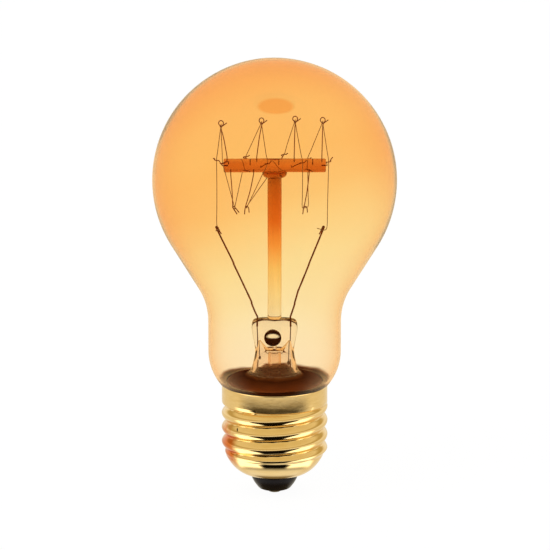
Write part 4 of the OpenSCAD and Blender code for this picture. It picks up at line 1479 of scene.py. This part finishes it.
def aimed(piece: bpy.types.Object, at: Vector, way: Vector) -> None:
    """Puts the camera or a lamp at a place, looking along a direction."""
    piece.location = at * MM
    piece.rotation_mode = "QUATERNION"
    piece.rotation_quaternion = way.to_track_quat("-Z", "Y")


@dataclass(frozen=True)
class Sight:
    """How a ray sees the surround, each from 0 to 1."""

    direct: bpy.types.NodeSocket  # direct or straight through glass
    shine: bpy.types.NodeSocket  # as a reflection
    metal: bpy.types.NodeSocket  # as one in metal, which is never quite sharp
    inside: bpy.types.NodeSocket  # from inside the stem and the rods


@dataclass
class Studio:
    """A white floor, a soft surround, a soft lamp and the camera at the photo's angle."""

    elevation: float = 13.3
    distance: float = 1000.0
    aim: Point = (0.1, 0.0, 55.4)
    frame_w: float = 135.6  # width of the picture at the lamp
    sensor: float = 36.0
    clip: Pair = (0.01, 50.0)  # in metres
    floor_r: float = 6000.0
    floor_glow: Pair = (0.93, 1.03)  # how much of the floor's white is its own, and how bright that is
    ambient: float = 0.72
    glass_sees: str = "#ffe0b4"  # what clear glass mirrors from behind and beside the lamp
    glass_sees_front: str = "#d8682c"  # and from in front of it
    front_y: Pair = (-0.8, 0.15)  # where the one turns to the other, by how far back a ray leads
    inner_sees: str = "#fadcb8"  # what is mirrored inside the stem and the rods
    # What metal sees of the surround, from straight below to straight above
    sky: Stops = (
        (0.0, "#e8e0d0"), (0.5, "#ffffff"), (0.6, "#fff8ea"), (0.65, "#ccb884"), (0.71, "#ccb884"), (0.77, "#f6eaca"),
        (1.0, "#e4d4a4"),
    )
    # What metal sees of the floor in front of the lamp, by its distance from the axis
    ahead: Stops = (
        (0, "#8a7a58"), (6, "#8a7a58"), (8.5, "#ffffff"), (12, "#ffffff"), (15, "#0c0a05"), (32, "#0c0a05"),
        (42, "#3a3018"), (80, "#201a0a"), (99, "#040300"), (104, "#3c3018"), (108, "#a08c64"), (111, "#f0e4c4"),
        (114, "#ffffff"), (150, "#fffaf0"),
    )
    beside: str = "#f4ecd8"  # what it sees of the floor beside the lamp
    beside_angles: Pair = (52.0, 86.0)  # where the floor in front turns to that, from straight ahead
    card: float = 2.2  # brightness of the two bright cards, where white is 1
    card_inner: Pair = (17.0, 29.0)  # angles between which a card's inner edge fades in
    card_outer: Pair = (76.0, 96.0)
    card_near: Pair = (13.0, 16.0)  # distances between which its near edge fades in
    card_far: Pair = (84.0, 94.0)
    wedge_r: Pair = (15.0, 40.0)  # distances over which the gap between the cards widens
    wedge: float = -26.0  # and by how much

    def camera(self) -> None:
        """Looks at the lamp from the front and a little above."""
        data = bpy.data.cameras.new("camera")
        data.sensor_width, data.lens = self.sensor, self.sensor * self.distance / self.frame_w
        data.clip_start, data.clip_end = self.clip
        a = math.radians(self.elevation)
        back = Vector((0, -math.cos(a), math.sin(a)))
        camera = placed("camera", data)
        aimed(camera, Vector(self.aim) + back * self.distance, -back)
        bpy.context.scene.camera = camera

    @staticmethod
    def seen(tree: bpy.types.NodeTree) -> Sight:
        """How a ray sees the surround."""
        path = add(tree, "LightPath").outputs
        turned_back = add(tree, "Math", {0: path["Glossy Depth"], 1: 0.5}, operation="GREATER_THAN").outputs[0]
        straight = {0: path["Is Transmission Ray"], 1: turned_back}
        through = add(tree, "Math", straight, operation="SUBTRACT", use_clamp=True).outputs[0]
        direct = add(tree, "Math", {0: path["Is Camera Ray"], 1: through}, operation="MAXIMUM").outputs[0]
        either = add(tree, "Math", {0: path["Is Glossy Ray"], 1: path["Is Transmission Ray"]}, operation="MAXIMUM")
        shine = add(tree, "Math", {0: either.outputs[0], 1: direct}, operation="SUBTRACT", use_clamp=True).outputs[0]
        metal = add(tree, "Math", {0: shine, 1: path["Is Singular Ray"]}, operation="SUBTRACT", use_clamp=True)
        depth = {"Value": path["Transmission Depth"], "From Min": 4.5, "From Max": 5.5}
        inside = add(tree, "MapRange", depth).outputs[0]
        return Sight(direct, shine, metal.outputs[0], inside)

    def mirrored_floor(self, tree: bpy.types.NodeTree) -> tuple[bpy.types.NodeSocket, bpy.types.NodeSocket]:
        """What metal mirrors of the floor: a dark card in front of the lamp, between two bright ones.

        Args:
            tree: The node tree.

        Returns:
            The colour and its strength.
        """
        place = add(tree, "TexCoord").outputs["Object"]
        far = add(tree, "VectorMath", {0: place}, operation="LENGTH").outputs["Value"]
        at = add(tree, "SeparateXYZ", {0: place}).outputs
        wide = add(tree, "Math", {0: at["X"]}, operation="ABSOLUTE").outputs[0]
        ahead = add(tree, "Math", {0: at["Y"], 1: -1.0}, operation="MULTIPLY").outputs[0]
        turn = add(tree, "Math", {0: wide, 1: ahead}, operation="ARCTAN2").outputs[0]
        part = add(tree, "MapRange", {"Value": far, "From Max": self.ahead[-1][0] * MM}).outputs[0]
        stops = [(at_mm / self.ahead[-1][0], colour) for at_mm, colour in self.ahead]
        front = add(tree, "ValToRGB", {"Fac": part}, stops).outputs[0]
        low, high = self.wedge_r
        spread = {"Value": far, "From Min": low * MM, "From Max": high * MM, "To Max": math.radians(self.wedge)}
        wedge = add(tree, "MapRange", spread).outputs[0]
        from_edge = add(tree, "Math", {0: turn, 1: wedge}, operation="ADD").outputs[0]
        card = None
        degree = math.radians(1)
        for value, (low, high), unit, fades_in in (
            (from_edge, self.card_inner, degree, True),
            (turn, self.card_outer, degree, False),
            (far, self.card_near, MM, True),
            (far, self.card_far, MM, False),
        ):
            inputs = {"Value": value, "From Min": low * unit, "From Max": high * unit}
            inputs["To Min"], inputs["To Max"] = (0.0, 1.0) if fades_in else (1.0, 0.0)
            window = add(tree, "MapRange", inputs, interpolation_type="SMOOTHSTEP").outputs[0]
            card = add(tree, "Math", {0: card, 1: window}, operation="MULTIPLY").outputs[0] if card else window
        low, high = self.beside_angles
        limits = {"Value": turn, "From Min": low * degree, "From Max": high * degree}
        aside = add(tree, "MapRange", limits, interpolation_type="SMOOTHSTEP").outputs[0]
        base = add(tree, "Mix", {0: aside, 6: front, 7: linear(self.beside)}, data_type="RGBA").outputs[2]
        colour = add(tree, "Mix", {0: card, 6: base, 7: (1, 1, 1, 1)}, data_type="RGBA").outputs[2]
        strength = add(tree, "MapRange", {"Value": card, "To Min": 1.0, "To Max": self.card}).outputs[0]
        return colour, strength

    def mirrored_in_glass(
        self, tree: bpy.types.NodeTree, sight: Sight, back: bpy.types.NodeSocket
    ) -> bpy.types.NodeSocket:
        """What clear glass mirrors: an orange dusk in front, and a bright surround behind and beside.

        Args:
            tree: The node tree.
            sight: How the ray sees the surround.
            back: How far back its way leads, from -1 to 1.

        Returns:
            The colour.
        """
        limits = {"Value": back, "From Min": self.front_y[0], "From Max": self.front_y[1]}
        behind = add(tree, "MapRange", limits, interpolation_type="SMOOTHSTEP").outputs[0]
        colours = {0: behind, 6: linear(self.glass_sees_front), 7: linear(self.glass_sees)}
        plain = add(tree, "Mix", colours, data_type="RGBA").outputs[2]
        return add(tree, "Mix", {0: sight.inside, 6: plain, 7: linear(self.inner_sees)}, data_type="RGBA").outputs[2]

    def surround(self) -> None:
        """A plain soft surround; metal mirrors it brightly and clear glass faintly."""
        world = bpy.data.worlds.new("surround")
        bpy.context.scene.world = world
        tree = bare_tree(world)
        sight = self.seen(tree)
        way = add(tree, "SeparateXYZ", {0: add(tree, "TexCoord").outputs["Generated"]}).outputs
        up = add(tree, "MapRange", {"Value": way["Z"], "From Min": -1.0, "From Max": 1.0}).outputs[0]
        sky = add(tree, "ValToRGB", {"Fac": up}, self.sky).outputs[0]
        in_glass = self.mirrored_in_glass(tree, sight, way["Y"])
        mirrored = add(tree, "Mix", {0: sight.metal, 6: in_glass, 7: sky}, data_type="RGBA").outputs[2]
        ambient = (self.ambient, self.ambient, self.ambient, 1)
        plain = add(tree, "Mix", {0: sight.shine, 6: ambient, 7: mirrored}, data_type="RGBA").outputs[2]
        colour = add(tree, "Mix", {0: sight.direct, 6: plain, 7: (1, 1, 1, 1)}, data_type="RGBA").outputs[2]
        light = add(tree, "Background", {"Color": colour, "Strength": 1.0})
        add(tree, "OutputWorld", {"Surface": light.outputs[0]})

    def floor(self) -> None:
        """A white floor that keeps the lamp's shadow; metal mirrors a dark card and two bright ones on it."""
        bm = bmesh.new()
        bmesh.ops.create_circle(bm, cap_ends=True, radius=self.floor_r * MM, segments=64)
        mesh = meshed(bm, "floor")
        floor = placed("floor", mesh)
        finish = bpy.data.materials.new("white_floor")
        tree = bare_tree(finish)
        sight = self.seen(tree)
        tone, strength = self.mirrored_floor(tree)
        place = add(tree, "TexCoord").outputs["Object"]
        way = add(tree, "VectorMath", {0: place}, operation="NORMALIZE").outputs["Vector"]
        warm = self.mirrored_in_glass(tree, sight, add(tree, "SeparateXYZ", {0: way}).outputs["Y"])
        glow, brightness = self.floor_glow
        white = add(tree, "Emission", {"Color": (1, 1, 1, 1), "Strength": brightness}).outputs[0]
        shadowed = add(tree, "BsdfDiffuse", {"Color": (0.9, 0.9, 0.9, 1)}).outputs[0]
        pale = add(tree, "MixShader", {0: glow, 1: shadowed, 2: white}).outputs[0]
        in_metal = add(tree, "Emission", {"Color": tone, "Strength": strength}).outputs[0]
        in_glass = add(tree, "Emission", {"Color": warm, "Strength": 1.0}).outputs[0]
        mirrored = add(tree, "MixShader", {0: sight.metal, 1: in_glass, 2: in_metal}).outputs[0]
        plain = add(tree, "MixShader", {0: sight.shine, 1: shadowed, 2: mirrored}).outputs[0]
        seen = add(tree, "MixShader", {0: sight.direct, 1: plain, 2: pale}).outputs[0]
        add(tree, "OutputMaterial", {"Surface": seen})
        mesh.materials.append(finish)

    def lamp(self, name: str, at: Vector, towards: Vector, size: float, radiance: float) -> None:
        """Hangs a soft square lamp, which metal and glass don't mirror.

        Args:
            name: The lamp's name.
            at: Its place.
            towards: The point it faces.
            size: Its side.
            radiance: Its brightness, where a white backdrop is 1.
        """
        data = bpy.data.lights.new(name, "AREA")
        data.shape, data.size = "SQUARE", size * MM
        data.energy = radiance * math.pi * (size * MM) ** 2
        lamp = placed(name, data)
        aimed(lamp, at, towards - at)
        lamp.visible_camera = lamp.visible_transmission = lamp.visible_glossy = False

    def build(self) -> None:
        """Sets up the camera, the surround, the floor and the lamp."""
        self.camera()
        self.surround()
        self.floor()
        self.lamp("key", Vector((-500, -400, 600)), Vector((0, 0, 60)), 500, 1.2)
        LOG.info("studio: white floor and surround, lens %.0f mm", bpy.context.scene.camera.data.lens)


def main() -> None:
    """Builds the lamp's sub-assemblies in order."""
    logging.basicConfig(level=logging.INFO, format="%(name)s: %(message)s")
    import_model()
    bpy.context.scene.view_settings.view_transform = "Standard"
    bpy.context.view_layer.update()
    Studio().build()
    Envelope().build()
    Stem().build()
    Arbor().build()
    left = Lead("left", Side.LEFT, -4.2, Vector((-5.8, 0, 49.0)), Vector((-14.5, 0, 67.6)))
    right = Lead("right", Side.RIGHT, 3.9, Vector((5.8, 0, 51.5)), Vector((12.3, 0, 67.6)), seal_foot_z=32.6)
    Mount(left_grip=left.grip(), right_grip=right.grip()[::-1]).build()
    left.build()
    right.build()
    OuterLeads().build()
    Cap().build()


if __name__ == "__main__":
    main()
